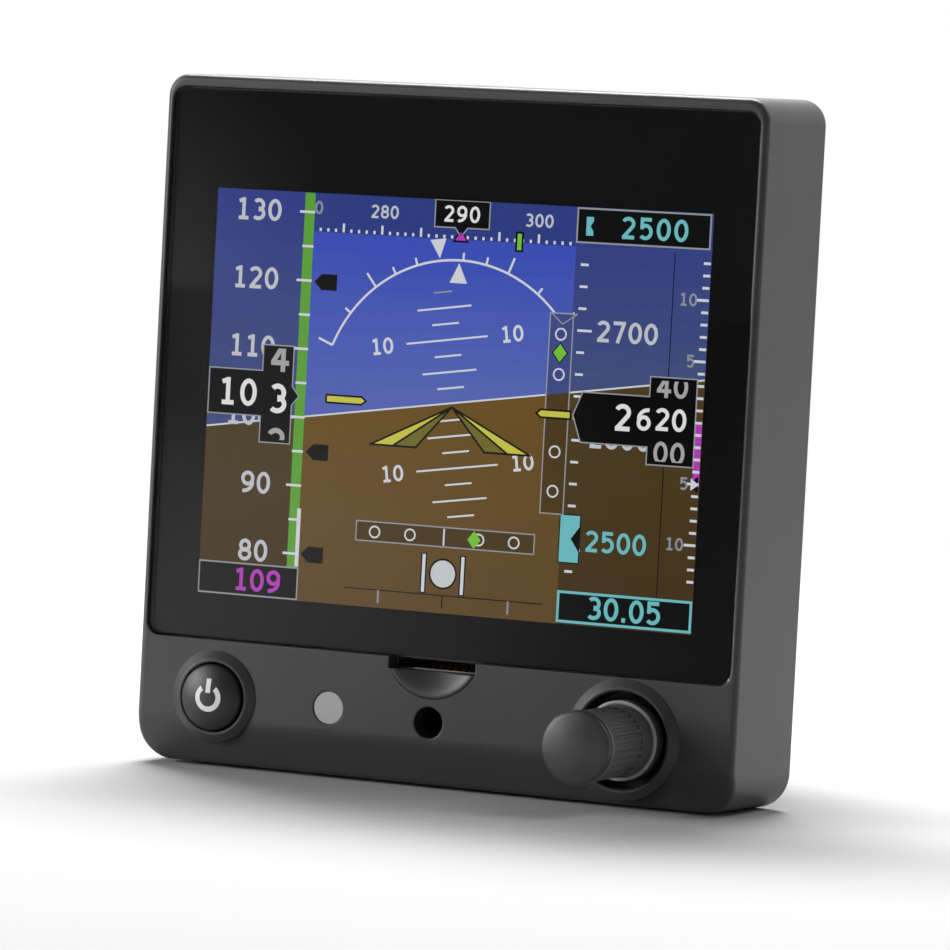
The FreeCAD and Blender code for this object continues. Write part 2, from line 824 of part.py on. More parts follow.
# ------------------------------------------------------------------ light sensor
light_front = front + s.lightInset
light_back = board_front - s.boardThick
light_pipe = body("light_pipe", light_across, 0, key_height)
turned(
    light_pipe,
    [
        (light_front, 0),
        (light_front, s.lightRadius),
        (chin_back + s.threadGap, s.lightRadius),
        (chin_back + s.threadGap, s.lightFlange),
        (chin_back + s.keyFlangeThick, s.lightFlange),
        (chin_back + s.keyFlangeThick, s.keyStem),
        (light_back, s.keyStem),
        (light_back, 0),
    ],
)
photodiode_side = 2 * s.keyStem
light_sensor = block(
    "light_sensor",
    light_across - s.keyStem,
    light_back + s.threadGap,
    key_height - s.keyStem,
    photodiode_side,
    board_front - light_back - s.threadGap,
    photodiode_side,
)

# ------------------------------------------------------------------ memory-card socket
socket_front = chin_back + s.threadGap
socket_back = -s.socketBack
socket_deep = socket_back - socket_front
card_socket = body("card_socket", s.slotAcross, 0, slot_middle)
where = sketch(card_socket, "XZ", -socket_back)
rounded_rectangle(where, (0, 0), s.socketWide, s.socketTall, s.socketSkin)
pad(card_socket, where, socket_deep)
where = sketch(card_socket, "XZ", -socket_front)
inner = (s.slotWide - s.socketSkin, s.slotTall - s.socketSkin)
rounded_rectangle(where, (0, 0), *inner, s.socketSkin / 2)
pocket(card_socket, where, socket_deep - s.socketSkin)

contact_low = slot_middle - inner[1] / 2
contacts = []
contact_count = 8
for number in range(contact_count):
    across = s.slotAcross + s.contactShift + s.contactPitch * (number - (contact_count - 1) / 2)
    contact = body(f"contact_{number}", across, 0, contact_low)
    where = sketch(contact, "YZ")
    outline(
        where,
        [
            (socket_front, 0),
            (socket_front + s.contactPitch, s.contactWide),
            (socket_front + 2 * s.contactPitch, s.contactWide / 2),
            (socket_back - s.contactPitch, 0),
        ],
    )
    finger = pad(contact, where, s.contactWide)
    finger.Midplane = True
    contacts.append(contact)
card_contacts = group("card_contacts", contacts)

card_board = block(
    "card_board",
    s.slotAcross - s.socketWide / 2,
    socket_front,
    slot_middle - s.socketTall / 2 - s.boardThick / 2,
    s.socketWide,
    board_front - socket_front,
    s.boardThick / 2,
)

# ------------------------------------------------------------------ captive screw
head_back = plate_front - s.threadGap - s.retainerThick
screw_end = head_back + s.screwReach
captive_screw = body("captive_screw", 0, 0, screw_height)
shank = turned(
    captive_screw,
    [
        (head_back - s.screwHeadTall, 0),
        (head_back - s.screwHeadTall, s.screwHead),
        (head_back, s.screwHead),
        (head_back, s.screwShank),
        (s.registerLong, s.screwShank),
        (s.registerLong, s.screwRadius),
        (screw_end, s.screwRadius),
        (screw_end, 0),
    ],
)
where = sketch(captive_screw, "XZ", s.screwHeadTall - head_back)
hexagon(where, s.screwKeyFlats)
socket_cut = pocket(captive_screw, where, s.screwKeyDeep)


def on_screw_rim(edge):
    """The rim of the head and the rim of the thread's end."""
    return ring_of(edge, s.screwHead, head_back - s.screwHeadTall) or ring_of(edge, s.screwRadius, screw_end)


rounded(captive_screw, socket_cut, s.collarRound, on_screw_rim, "rims", "Chamfer")

screw_retainer = body("screw_retainer", 0, 0, screw_height)
where = sketch(screw_retainer, "XZ", s.threadGap - plate_front)
circle(where, 0, 0, s.screwBore - s.threadGap * 2)
circle(where, 0, 0, s.screwShank + s.threadGap)
pad(screw_retainer, where, s.retainerThick - s.threadGap)

# ------------------------------------------------------------------ knob and encoder
bush_front = well_floor - s.washerThick - s.nutTall - s.threadGap
skirt_back = bush_front - s.pushTravel - s.encoderGap
skirt_front = front - s.skirtProud
rim_front = front - s.knobProud
flute_start = front - s.fluteStart
flute_stop = flute_start - s.fluteLong
tip_back = rim_front - s.capGroove
shaft_front = rim_front + s.capTall
knob = body("knob", knob_across, 0, knob_height)
turned(
    knob,
    [
        (rim_front, 0),
        (rim_front, s.knobRadius - s.capGroove),
        (rim_front + s.capGroove, s.knobRadius),
        (skirt_front - s.capGroove, s.knobRadius),
        (skirt_front, s.knobRadius + s.capGroove / 2),
        (skirt_front, s.skirtRadius),
        (skirt_back, s.skirtRadius),
        (skirt_back, 0),
    ],
)
where = sketch(knob, "XZ", -flute_start)
circle(where, 0, s.knobRadius + s.fluteRadius / 6, s.fluteRadius)
flute = knob.newObject("PartDesign::Pocket", "knob_flute")
flute.Profile = where
flute.Reversed = True
bind(flute, "Length", s.fluteLong)
before = volume(knob)
flutes = knob.newObject("PartDesign::PolarPattern", "knob_flutes")
flutes.Originals = [flute]
flutes.Axis = (where, ["N_Axis"])
flutes.Angle = 360
bind(flutes, "Occurrences", s.fluteCount)
knob.Tip = flutes
if volume(knob) >= before:
    raise RuntimeError("the flutes cut nothing")
# D-shaped bore for the shaft
shaft_room = s.shaftRadius + s.threadGap / 2
flat_height = s.shaftRadius - s.shaftFlat + s.threadGap / 2
flat_half = root(shaft_room * shaft_room - flat_height * flat_height)
where = sketch(knob, "XZ", -skirt_back)
d_bore = [(flat_half, flat_height), (-flat_half, flat_height), (0, -shaft_room)]
outline(where, d_bore, {1: shaft_room, 2: shaft_room})
bore = pocket(knob, where, skirt_back - shaft_front + s.threadGap, forwards=True)
rounded(knob, bore, s.capGroove, lambda edge: ring_of(edge, s.skirtRadius, skirt_front), "skirt_edge")

knob_cap = body("knob_cap", knob_across, 0, knob_height)
cap_front = tip_back - s.capTall
turned(
    knob_cap,
    [
        (cap_front, 0),
        (cap_front, s.capRadius),
        (tip_back, s.capRadius),
        (tip_back, s.knobRadius - s.capGroove),
        (rim_front, s.knobRadius - s.capGroove),
        (rim_front, 0),
    ],
)
cap_sphere = (s.capRadius * s.capRadius / s.capDome + s.capDome) / 2
face_profile = [(cap_front, 0), (cap_front - s.capDome, 0), (cap_front, s.capRadius)]
face = turned(knob_cap, face_profile, {1: -cap_sphere})
rounded(knob_cap, face, s.capRound, lambda edge: ring_of(edge, s.capRadius, cap_front), "edge")

encoder_front = well_back + s.encoderGap
shaft_back = encoder_front + s.wellFloor
encoder_shaft = body("encoder_shaft", knob_across, 0, knob_height)
where = sketch(encoder_shaft, "XZ", -shaft_back)
circle(where, 0, 0, s.shaftRadius)
pad(encoder_shaft, where, shaft_back - shaft_front)
where = sketch(encoder_shaft, "XZ", -shaft_front)
flat_low = s.shaftRadius - s.shaftFlat
rectangle(where, -s.shaftRadius, flat_low, s.shaftRadius, s.shaftRadius + s.cutSpare)
pocket(encoder_shaft, where, skirt_back - shaft_front)

push_front = shaft_back + s.bondGap
knob_plunger = rod("knob_plunger", knob_across, push_front, knob_height, s.shaftRadius, s.plungerThick)

encoder_room = s.plungerThick + s.bondGap + s.pushTravel + s.encoderGap
encoder = body("encoder", knob_across, 0, knob_height)
where = sketch(encoder, "XZ", s.boardFront)
rounded_rectangle(where, (0, 0), s.encoderSide, s.encoderSide, s.panelGap)
pad(encoder, where, board_front - encoder_front)
where = sketch(encoder, "XZ", -encoder_front)
circle(where, 0, 0, s.bushRadius)
pad(encoder, where, encoder_front - bush_front)
where = sketch(encoder, "XZ", -bush_front)
circle(where, 0, 0, s.shaftRadius + s.shaftGap)
pocket(encoder, where, shaft_back - bush_front + encoder_room)

encoder_washer = body("encoder_washer", knob_across, 0, knob_height)
where = sketch(encoder_washer, "XZ", -well_floor)
circle(where, 0, 0, s.wellRadius - s.encoderGap * 2)
circle(where, 0, 0, s.bushRadius + s.threadGap)
pad(encoder_washer, where, s.washerThick)

encoder_nut = body("encoder_nut", knob_across, 0, knob_height)
where = sketch(encoder_nut, "XZ", s.washerThick - well_floor)
hexagon(where, s.nutFlats)
circle(where, 0, 0, s.bushRadius + s.threadGap)
pad(encoder_nut, where, s.nutTall)

# ------------------------------------------------------------------ boards
def cheese_head_screws(label, spots, seat, reach):
    """A group of small screws whose heads seat at Y = seat and whose ends reach towards the pilot."""
    screws = []
    for number, (x, z) in enumerate(spots):
        screw = body(f"{label}_{number}", x, 0, z)
        turned(
            screw,
            [
                (seat - reach, 0),
                (seat - reach, s.smallScrew - s.threadGap),
                (seat, s.smallScrew - s.threadGap),
                (seat, s.smallHead),
                (seat + s.smallHeadTall, s.smallHead),
                (seat + s.smallHeadTall, 0),
            ],
        )
        where = sketch(screw, "XZ", -seat - s.smallHeadTall)
        hexagon(where, s.smallKeyFlats)
        pocket(screw, where, s.smallHeadTall / 2, forwards=True)
        screws.append(screw)
    return group(label, screws)


main_board = body("main_board")
where = sketch(main_board, "XZ", -board_back)
rounded_rectangle(where, (0, 0), board_wide, board_tall, s.headCorner)
pad(main_board, where, s.boardThick)
where = sketch(main_board, "XZ", s.boardFront)
for x, z in head_bosses + foot_bosses:
    circle(where, x, z, s.smallScrew + s.threadGap)
for x, z in foot_screws:
    circle(where, x, z, s.housingBoss + s.panelGap)
circle(where, 0, screw_height, s.screwSleeve + s.panelGap)
notch = s.housingBoss + s.panelGap
pocket(main_board, where)
# each head corner of the board is notched round its screw's boss
where = sketch(main_board, "XZ", s.boardFront)
rectangle(where, screw_side - notch, screw_row - notch, half_wide, half_tall)
rectangle(where, -half_wide, screw_row - notch, notch - screw_side, half_tall)
pocket(main_board, where)
where = sketch(main_board, "XZ", s.boardFront)
rectangle(
    where,
    s.slotAcross - bay_side,
    slot_middle - s.socketTall / 2 - s.panelGap,
    s.slotAcross + bay_side,
    slot_middle + s.socketTall / 2 + s.panelGap,
)
pocket(main_board, where)
board_reach = s.boardThick + s.pilotDeep - s.panelGap
board_screws = cheese_head_screws("board_screws", head_bosses + foot_bosses, board_back, board_reach)

sensor_front = s.sensorBoardFront
sensor_back = sensor_front + s.boardThick
sensor_board = body("sensor_board")
where = sketch(sensor_board, "XZ", -sensor_back)
rounded_rectangle(where, (0, 0), sensor_board_wide, sensor_board_tall, s.housingCorner - s.housingWall * 2)
for x, z in sensor_bosses:
    circle(where, x, z, s.smallScrew + s.threadGap)
pad(sensor_board, where, s.boardThick)

ribbon_height = pack_height
ribbon_sockets = [
    block(
        label,
        -s.ribbonSocketWide / 2,
        socket_y,
        ribbon_height - s.ribbonSocketTall / 2,
        s.ribbonSocketWide,
        s.ribbonSocketDeep,
        s.ribbonSocketTall,
    )
    for label, socket_y in (
        ("ribbon_socket_main", board_back),
        ("ribbon_socket_rear", sensor_front - s.ribbonSocketDeep),
    )
]
ribbon_connectors = group("ribbon_connectors", ribbon_sockets)
ribbon_cable = body("ribbon_cable")
where = sketch(ribbon_cable, "YZ")
ribbon_start = board_back + s.ribbonSocketDeep
ribbon_stop = sensor_front - s.ribbonSocketDeep
outline(
    where,
    [
        (ribbon_start, ribbon_height),
        (ribbon_stop, ribbon_height),
        (ribbon_stop, ribbon_height + s.gasketThick),
        (ribbon_start, ribbon_height + s.gasketThick),
    ],
    {0: s.ribbonBow, 2: -s.ribbonBow - s.gasketThick},
)
strip = pad(ribbon_cable, where, s.ribbonWide)
strip.Midplane = True

# ------------------------------------------------------------------ rear housing
rear_housing = body("rear_housing")
plate_size = (s.bezelWide - 2 * plate_wall - 2 * s.plateGap, s.bezelTall - 2 * plate_wall - 2 * s.plateGap)
where = sketch(rear_housing, "XZ")
rounded_rectangle(where, (0, 0), *plate_size, s.headCorner - plate_wall)
pad(rear_housing, where, s.plateThick)
where = sketch(rear_housing, "XZ")
circle(where, 0, 0, s.registerRadius)
pad(rear_housing, where, s.registerLong, backwards=True)
where = sketch(rear_housing, "XZ")
rounded_rectangle(where, (0, 0), housing_wide, housing_tall, s.housingCorner)
housing = pad(rear_housing, where, s.housingDeep, backwards=True)
rounded(rear_housing, housing, s.housingRound, lambda edge: flat_at(edge, housing_back), "end")
inner_size = (housing_wide - 2 * s.housingWall, housing_tall - 2 * s.housingWall)
where = sketch(rear_housing, "XZ", s.plateThick)
rounded_rectangle(where, (0, 0), *inner_size, s.housingCorner - s.housingWall)
pocket(rear_housing, where, s.plateThick + housing_inside)

# cooling grooves along the head, foot and sides
where = sketch(rear_housing, "XZ", -s.coolStart)
cool_count = 7
for number in range(cool_count):
    left = (number - (cool_count - 1) / 2) * s.coolPitch - s.coolWide / 2
    for sign in (-1, 1):
        low = sign * housing_tall / 2 - s.coolDeep
        rectangle(where, left, low, left + s.coolWide, low + 2 * s.coolDeep)
        edge = sign * housing_wide / 2 - s.coolDeep
        rectangle(where, edge, left, edge + 2 * s.coolDeep, left + s.coolWide)
pocket(rear_housing, where)

# bosses for the sensor board, then the holes
for x, z in sensor_bosses:
    where = sketch(rear_housing, "XZ", -housing_inside - s.bossRoot)
    circle(where, x, z, s.housingBoss)
    pad(rear_housing, where, housing_inside + s.bossRoot - sensor_back)
where = sketch(rear_housing, "XZ", -sensor_back)
for x, z in sensor_bosses:
    circle(where, x, z, pilot)
pocket(rear_housing, where, s.pilotDeep)
where = sketch(rear_housing, "XZ")
for x, z in head_screws + foot_screws:
    circle(where, x, z, s.smallHead + s.panelGap)
pocket(rear_housing, where, s.smallHeadTall + s.panelGap, forwards=True)
where = sketch(rear_housing, "XZ")
for x, z in head_screws + foot_screws:
    circle(where, x, z, s.smallScrew + s.threadGap)
pocket(rear_housing, where, s.plateThick + s.cutSpare, forwards=True)
where = sketch(rear_housing, "XZ", s.plateThick)
circle(where, 0, screw_height, s.screwHole)
pocket(rear_housing, where, s.plateThick + s.registerLong + s.cutSpare)
pack_places = [(pack_across + x, pack_height + z) for x, z in pack_screws]
plug_half = s.jackScrewSpan / 2
where = sketch(rear_housing, "XZ", -housing_inside)
for x, z in pack_places:
    circle(where, x, z, pilot)
for z in (pitot_height, s.staticHeight):
    circle(where, port_across, z, s.portShank + s.threadGap)
circle(where, port_across, jack_height, s.portShank / 2 + s.threadGap)
for sign in (-1, 1):
    circle(where, s.plugAcross + sign * plug_half, plug_height, s.jackScrewThread + s.threadGap)
plug_hole = (s.plugShellWide + s.plugSkin, s.plugShellTall + s.plugSkin)
rounded_rectangle(where, (s.plugAcross, plug_height), *plug_hole, s.plugCorner)
pocket(rear_housing, where)

rear_seal = body("rear_seal")
where = sketch(rear_seal, "XZ", s.plateThick)
rounded_rectangle(where, (0, 0), *plate_size, s.headCorner - plate_wall)
hollow_size = (s.bezelWide - 2 * s.bezelWall, s.bezelTall - 2 * s.bezelWall)
rounded_rectangle(where, (0, 0), *hollow_size, s.headCorner - plate_wall)
pad(rear_seal, where, s.sealThick)

housing_reach = s.plateThick - s.smallHeadTall + s.pilotDeep
housing_seat = -s.smallHeadTall - s.threadGap
housing_screws = cheese_head_screws("housing_screws", head_screws + foot_screws, housing_seat, housing_reach)

# ------------------------------------------------------------------ air ports, their sensors and hoses
def on_port_rim(edge):
    """The outer rims of a port's hexagon and its mouth."""
    return flat_at(edge, housing_back + s.portProud)


barb_end = housing_inside - s.portBore / 2
fittings = []
for label, z in (("pitot_port", pitot_height), ("static_port", s.staticHeight)):
    port = body(label, port_across, 0, z)
    where = sketch(port, "XZ", -housing_back)
    hexagon(where, 2 * s.portRadius * cosine(as_size(30)))
    pad(port, where, s.portHexTall, backwards=True)
    turned(
        port,
        [
            (barb_end, 0),
            (barb_end, s.barbRadius),
            (housing_inside, s.barbRadius),
            (housing_inside, s.portShank),
            (housing_back + s.threadGap, s.portShank),
            (housing_back + s.threadGap, s.portRadius - s.hoseWall),
            (housing_back + s.portProud, s.portRadius - s.hoseWall),
            (housing_back + s.portProud, 0),
        ],
    )
    where = sketch(port, "XZ", -housing_back - s.portProud)
    circle(where, 0, 0, s.portBore)
    pocket(port, where, s.portBoreDeep, forwards=True)
    where = sketch(port, "XZ", -barb_end)
    circle(where, 0, 0, s.barbBore)
    mouth = pocket(port, where)
    rounded(port, mouth, s.collarRound, on_port_rim, "rims", "Chamfer")
    fittings.append(port)

sensor_top = sensor_back + s.sensorTall
sensors = []
for number, z in enumerate((pitot_height, s.staticHeight)):
    sensor = body(f"pressure_sensor_{number}", port_across, 0, z)
    turned(
        sensor,
        [
            (sensor_back, 0),
            (sensor_back, s.sensorRadius),
            (sensor_top, s.sensorRadius),
            (sensor_top, s.barbRadius),
            (sensor_top + s.sensorTall / 2, s.barbRadius),
            (sensor_top + s.sensorTall / 2, 0),
        ],
    )
    sensors.append(sensor)
pressure_sensors = group("pressure_sensors", sensors)

hoses = []
hose_bore = s.barbRadius + s.threadGap
for number, z in enumerate((pitot_height, s.staticHeight)):
    hose = body(f"sensor_hose_{number}", port_across, 0, z)
    where = sketch(hose, "XZ", -sensor_top - s.threadGap)
    circle(where, 0, 0, hose_bore + s.hoseWall)
    circle(where, 0, 0, hose_bore)
    pad(hose, where, housing_inside - sensor_top - 2 * s.threadGap, backwards=True)
    hoses.append(hose)
sensor_hoses = group("sensor_hoses", hoses)

# ------------------------------------------------------------------ antenna jack
antenna_jack = body("antenna_jack", port_across, 0, jack_height)
jack_end = housing_back + s.jackProud
turned(
    antenna_jack,
    [
        (sensor_back, 0),
        (sensor_back, s.portShank / 2),
        (housing_back, s.portShank / 2),
        (housing_back, s.jackRadius),
        (housing_back + s.smallHeadTall, s.jackRadius),
        (housing_back + s.smallHeadTall, s.jackRadius - s.hoseWall),
        (jack_end, s.jackRadius - s.hoseWall),
        (jack_end, s.jackBore),
        (housing_back, s.jackBore),
        (housing_back, s.pinRadius),
        (jack_end - s.pinRecess, s.pinRadius),
        (jack_end - s.pinRecess, 0),
    ],
)

# ------------------------------------------------------------------ nine-pin connector
def plug_outline(where, grow):
    """The connector's D: a slanted outline, wider at the top, with round corners."""
    high = s.plugShellTall / 2 + grow
    slant = sine(s.plugSlant) / cosine(s.plugSlant) * (s.plugShellTall + 2 * grow)
    wide = s.plugShellWide / 2 + grow
    corner = s.plugCorner
    outline(
        where,
        [
            (wide - corner, high),
            (corner - wide, high),
            (-wide, high - corner),
            (-wide + slant, -high + corner),
            (-wide + slant + corner, -high),
            (wide - slant - corner, -high),
            (wide - slant, -high + corner),
            (wide, high - corner),
        ],
        {1: corner, 3: corner, 5: corner, 7: corner},
    )


flange_end = housing_back + s.plugFlangeThick
shell_end = flange_end + s.plugShellDeep
plug_shell = body("plug_shell", s.plugAcross, 0, plug_height)
where = sketch(plug_shell, "XZ", -housing_back)
rounded_rectangle(where, (0, 0), s.plugFlangeWide, s.plugFlangeTall, s.plugCorner)
for sign in (-1, 1):
    circle(where, sign * plug_half, 0, s.jackScrewThread + s.threadGap)
pad(plug_shell, where, s.plugFlangeThick, backwards=True)
where = sketch(plug_shell, "XZ", -housing_back)
plug_outline(where, as_size(0))
pad(plug_shell, where, shell_end - housing_back, backwards=True)
where = sketch(plug_shell, "XZ", -shell_end)
plug_outline(where, -s.plugSkin)
pocket(plug_shell, where, forwards=True)

insulator_front = housing_inside - s.plugFlangeThick
plug_insulator = body("plug_insulator", s.plugAcross, 0, plug_height)
where = sketch(plug_insulator, "XZ", -insulator_front)
plug_outline(where, -s.plugSkin - s.threadGap)
pins = []
for side, count in ((1, 5), (-1, 4)):
    for number in range(count):
        pins.append(((number - (count - 1) / 2) * s.pinPitch, side * s.pinRow / 2))
for x, z in pins:
    circle(where, x, z, s.pinRadius + s.threadGap / 2)
pad(plug_insulator, where, flange_end - insulator_front, backwards=True)

pin_long = shell_end - s.pinRecess - sensor_back
plug_pins = group(
    "plug_pins",
    [
        rod(f"plug_pin_{number}", s.plugAcross + x, sensor_back, plug_height + z, s.pinRadius, pin_long)
        for number, (x, z) in enumerate(pins)
    ],
)

jacks = []
for number, sign in enumerate((-1, 1)):
    jack = body(f"jack_screw_{number}", s.plugAcross + sign * plug_half, 0, plug_height)
    where = sketch(jack, "XZ", -flange_end)
    hexagon(where, s.jackScrewFlats)
    pad(jack, where, s.jackScrewTall, backwards=True)
    where = sketch(jack, "XZ", -flange_end)
    circle(where, 0, 0, s.jackScrewThread)
    pad(jack, where, flange_end - housing_inside)
    where = sketch(jack, "XZ", -flange_end - s.jackScrewTall)
    circle(where, 0, 0, s.jackScrewThread)
    pocket(jack, where, s.jackScrewDeep, forwards=True)
    jacks.append(jack)
jack_screws = group("jack_screws", jacks)

# ------------------------------------------------------------------ backup battery pack
pack_front = housing_back + s.threadGap
pack_back = pack_front + s.packDeep
battery_case = body("battery_case", pack_across, 0, pack_height)
where = sketch(battery_case, "XZ", -pack_front)
rounded_rectangle(where, (0, 0), pack_wide, pack_tall, s.packCorner)
pad(battery_case, where, s.packDeep, backwards=True)
cell_room = (pack_wide - 2 * s.packWall, pack_tall - 2 * s.packEnd)
where = sketch(battery_case, "XZ", -pack_back)
rounded_rectangle(where, (0, 0), *cell_room, s.packWall)
pocket(battery_case, where, s.packDeep - s.packWall, forwards=True)
where = sketch(battery_case, "XZ", -pack_back)
for x, z in pack_screws:
    circle(where, x, z, s.smallScrew + s.threadGap)
pocket(battery_case, where, forwards=True)

cells = []
cell_deep = s.packDeep - s.packWall - s.coverGap
cell_wide = (cell_room[0] - 3 * s.coverGap) / 2
for number, sign in enumerate((-1, 1)):
    cell = body(f"battery_cell_{number}", pack_across + sign * (cell_wide + s.coverGap) / 2, 0, pack_height)
    where = sketch(cell, "XZ", -pack_front - s.packWall)
    rounded_rectangle(where, (0, 0), cell_wide, cell_room[1] - 2 * s.coverGap, s.packWall)
    pad(cell, where, cell_deep, backwards=True)
    cells.append(cell)
battery_cells = group("battery_cells", cells)

cover_front = pack_back + s.threadGap
cover_back = cover_front + s.coverThick
battery_cover = body("battery_cover", pack_across, 0, pack_height)
where = sketch(battery_cover, "XZ", -cover_front)
rounded_rectangle(where, (0, 0), pack_wide, pack_tall, s.packCorner)
for x, z in pack_screws:
    circle(where, x, z, s.smallScrew + s.threadGap)
cover_pad = pad(battery_cover, where, s.coverThick, backwards=True)
where = sketch(battery_cover, "XZ", -cover_back)
for x, z in pack_screws:
    circle(where, x, z, s.smallHead + s.threadGap)
cover_cut = pocket(battery_cover, where, s.smallHeadTall + s.threadGap, forwards=True)


def on_cover_rim(edge):
    """The outer edge of the cover's rear face, without the screws' recesses."""
    return flat_at(edge, cover_back) and not ring_of(edge, s.smallHead + s.threadGap, cover_back)


rounded(battery_cover, cover_cut, s.coverRound, on_cover_rim, "rim")

battery_seat = cover_back - s.smallHeadTall
battery_reach = battery_seat - housing_inside
battery_screws = cheese_head_screws("battery_screws", pack_places, battery_seat, battery_reach)

# ------------------------------------------------------------------ write each node
NODES = [
    bezel,
    cover_glass,
    glass_gasket,
    display_panel,
    display_backlight,
    power_key,
    switch_plunger,
    power_switch,
    light_pipe,
    light_sensor,
    card_socket,
    card_contacts,
    card_board,
    captive_screw,
    screw_retainer,
    knob,
    knob_cap,
    encoder_shaft,
    knob_plunger,
    encoder,
    encoder_washer,
    encoder_nut,
    main_board,
    board_screws,
    ribbon_connectors,
    ribbon_cable,
    sensor_board,
    pressure_sensors,
    sensor_hoses,
    rear_housing,
    rear_seal,
    housing_screws,
    *fittings,
    antenna_jack,
    plug_shell,
    plug_insulator,
    plug_pins,
    jack_screws,
    battery_case,
    battery_cells,
    battery_cover,
    battery_screws,
]

document.recompute()
for thing in document.Objects:
    if "Invalid" in thing.State or "Error" in thing.State:
        raise RuntimeError(f"{thing.Name} did not build: {thing.State}")
for node in NODES:
    if node.Shape.isNull() or not node.Shape.isValid():
        raise RuntimeError(f"{node.Label} has no valid shape")
os.makedirs("parts", exist_ok=True)
for node in NODES:
    node.Shape.exportStep(f"parts/{node.Label}.step")
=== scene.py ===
import math

import bmesh
import bpy
from mathutils import Matrix, Vector


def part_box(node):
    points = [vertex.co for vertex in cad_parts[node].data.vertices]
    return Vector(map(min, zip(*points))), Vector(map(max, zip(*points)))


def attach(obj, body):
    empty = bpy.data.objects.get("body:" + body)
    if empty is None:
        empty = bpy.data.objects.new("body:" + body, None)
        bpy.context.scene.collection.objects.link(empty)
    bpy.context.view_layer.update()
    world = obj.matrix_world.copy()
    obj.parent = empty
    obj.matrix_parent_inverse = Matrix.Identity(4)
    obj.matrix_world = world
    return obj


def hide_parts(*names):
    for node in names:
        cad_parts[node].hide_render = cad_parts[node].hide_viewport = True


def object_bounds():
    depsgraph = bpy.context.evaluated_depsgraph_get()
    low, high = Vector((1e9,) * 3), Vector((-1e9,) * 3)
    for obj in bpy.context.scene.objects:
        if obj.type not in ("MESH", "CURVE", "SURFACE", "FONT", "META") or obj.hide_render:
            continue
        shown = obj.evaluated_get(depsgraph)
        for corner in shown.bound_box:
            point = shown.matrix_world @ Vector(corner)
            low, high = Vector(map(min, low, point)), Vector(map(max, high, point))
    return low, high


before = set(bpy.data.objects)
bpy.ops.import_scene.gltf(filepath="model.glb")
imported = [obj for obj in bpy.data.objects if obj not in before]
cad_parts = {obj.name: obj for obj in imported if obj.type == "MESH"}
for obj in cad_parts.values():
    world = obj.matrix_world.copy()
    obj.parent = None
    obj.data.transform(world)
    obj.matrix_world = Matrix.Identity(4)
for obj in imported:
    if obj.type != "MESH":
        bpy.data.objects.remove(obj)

# Panel-mounted electronic attitude indicator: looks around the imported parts.
# Shapes are worked in millimetres and turned to metres when a piece is made.
CAD_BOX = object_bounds()
MM = 0.001
MERGE = 1e-5


def place_of(node):
    """A CAD node's lowest corner, highest corner and middle in millimetres."""
    low, high = (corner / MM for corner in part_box(node))
    return low, high, (low + high) / 2


# ------------------------------------------------------------------ colours and materials
def linear(code):
    """An sRGB hex colour as linear RGBA."""
    parts = [int(code[i : i + 2], 16) / 255 for i in (1, 3, 5)]
    return (*(p / 12.92 if p <= 0.04045 else ((p + 0.055) / 1.055) ** 2.4 for p in parts), 1.0)


def blend(low, high, share):
    """The hex colour that lies share of the way from low to high."""
    pairs = zip(*([int(code[i : i + 2], 16) for i in (1, 3, 5)] for code in (low, high)))
    return "#" + "".join(f"{round(a + (b - a) * share):02x}" for a, b in pairs)


def add(tree, kind, inputs=(), **settings):
    """A shader node with its settings, its socket values and its links."""
    made = tree.nodes.new(kind)
    for name, value in settings.items():
        setattr(made, name, value)
    for socket, value in dict(inputs).items():
        if isinstance(value, bpy.types.NodeSocket):
            tree.links.new(value, made.inputs[socket])
        else:
            made.inputs[socket].default_value = value
    return made


def noise(tree, where, size, **sockets):
    """Noise with features of the size given in millimetres."""
    inputs = {"Vector": where, "Scale": 1 / (size * MM), **sockets}
    return add(tree, "ShaderNodeTexNoise", inputs).outputs["Fac"]


def ramp(tree, value, start, stop, first=0.0, last=1.0, kind="LINEAR"):
    """Goes from first to last while value goes from start to stop."""
    inputs = {"Value": value, "From Min": start, "From Max": stop, "To Min": first, "To Max": last}
    return add(tree, "ShaderNodeMapRange", inputs, interpolation_type=kind).outputs["Result"]


def combine(tree, operation, first, second):
    """One value out of two."""
    return add(tree, "ShaderNodeMath", {0: first, 1: second}, operation=operation).outputs["Value"]


def along(tree, where, way):
    """How far a place lies along a direction."""
    made = add(tree, "ShaderNodeVectorMath", {0: where, 1: way}, operation="DOT_PRODUCT")
    return made.outputs["Value"]


def light_paths(tree):
    """Two switches: on for the rays that gloss and glass mirror, and on for the camera's own rays."""
    paths = add(tree, "ShaderNodeLightPath").outputs
    mirrors = combine(tree, "MAXIMUM", paths["Is Glossy Ray"], paths["Is Transmission Ray"])
    return mirrors, paths["Is Camera Ray"]


def material(name, colour, roughness, **sockets):
    """A material with one Principled shader, with its tree and that shader."""
    made = bpy.data.materials.new(name)
    made.use_nodes = True
    tree = made.node_tree
    tree.nodes.clear()
    base = {"Base Color": linear(colour), "Roughness": roughness}
    shader = add(tree, "ShaderNodeBsdfPrincipled", base)
    for socket, value in sockets.items():
        shader.inputs[socket.replace("_", " ")].default_value = value
    output = add(tree, "ShaderNodeOutputMaterial")
    tree.links.new(shader.outputs["BSDF"], output.inputs["Surface"])
    return made, tree, shader


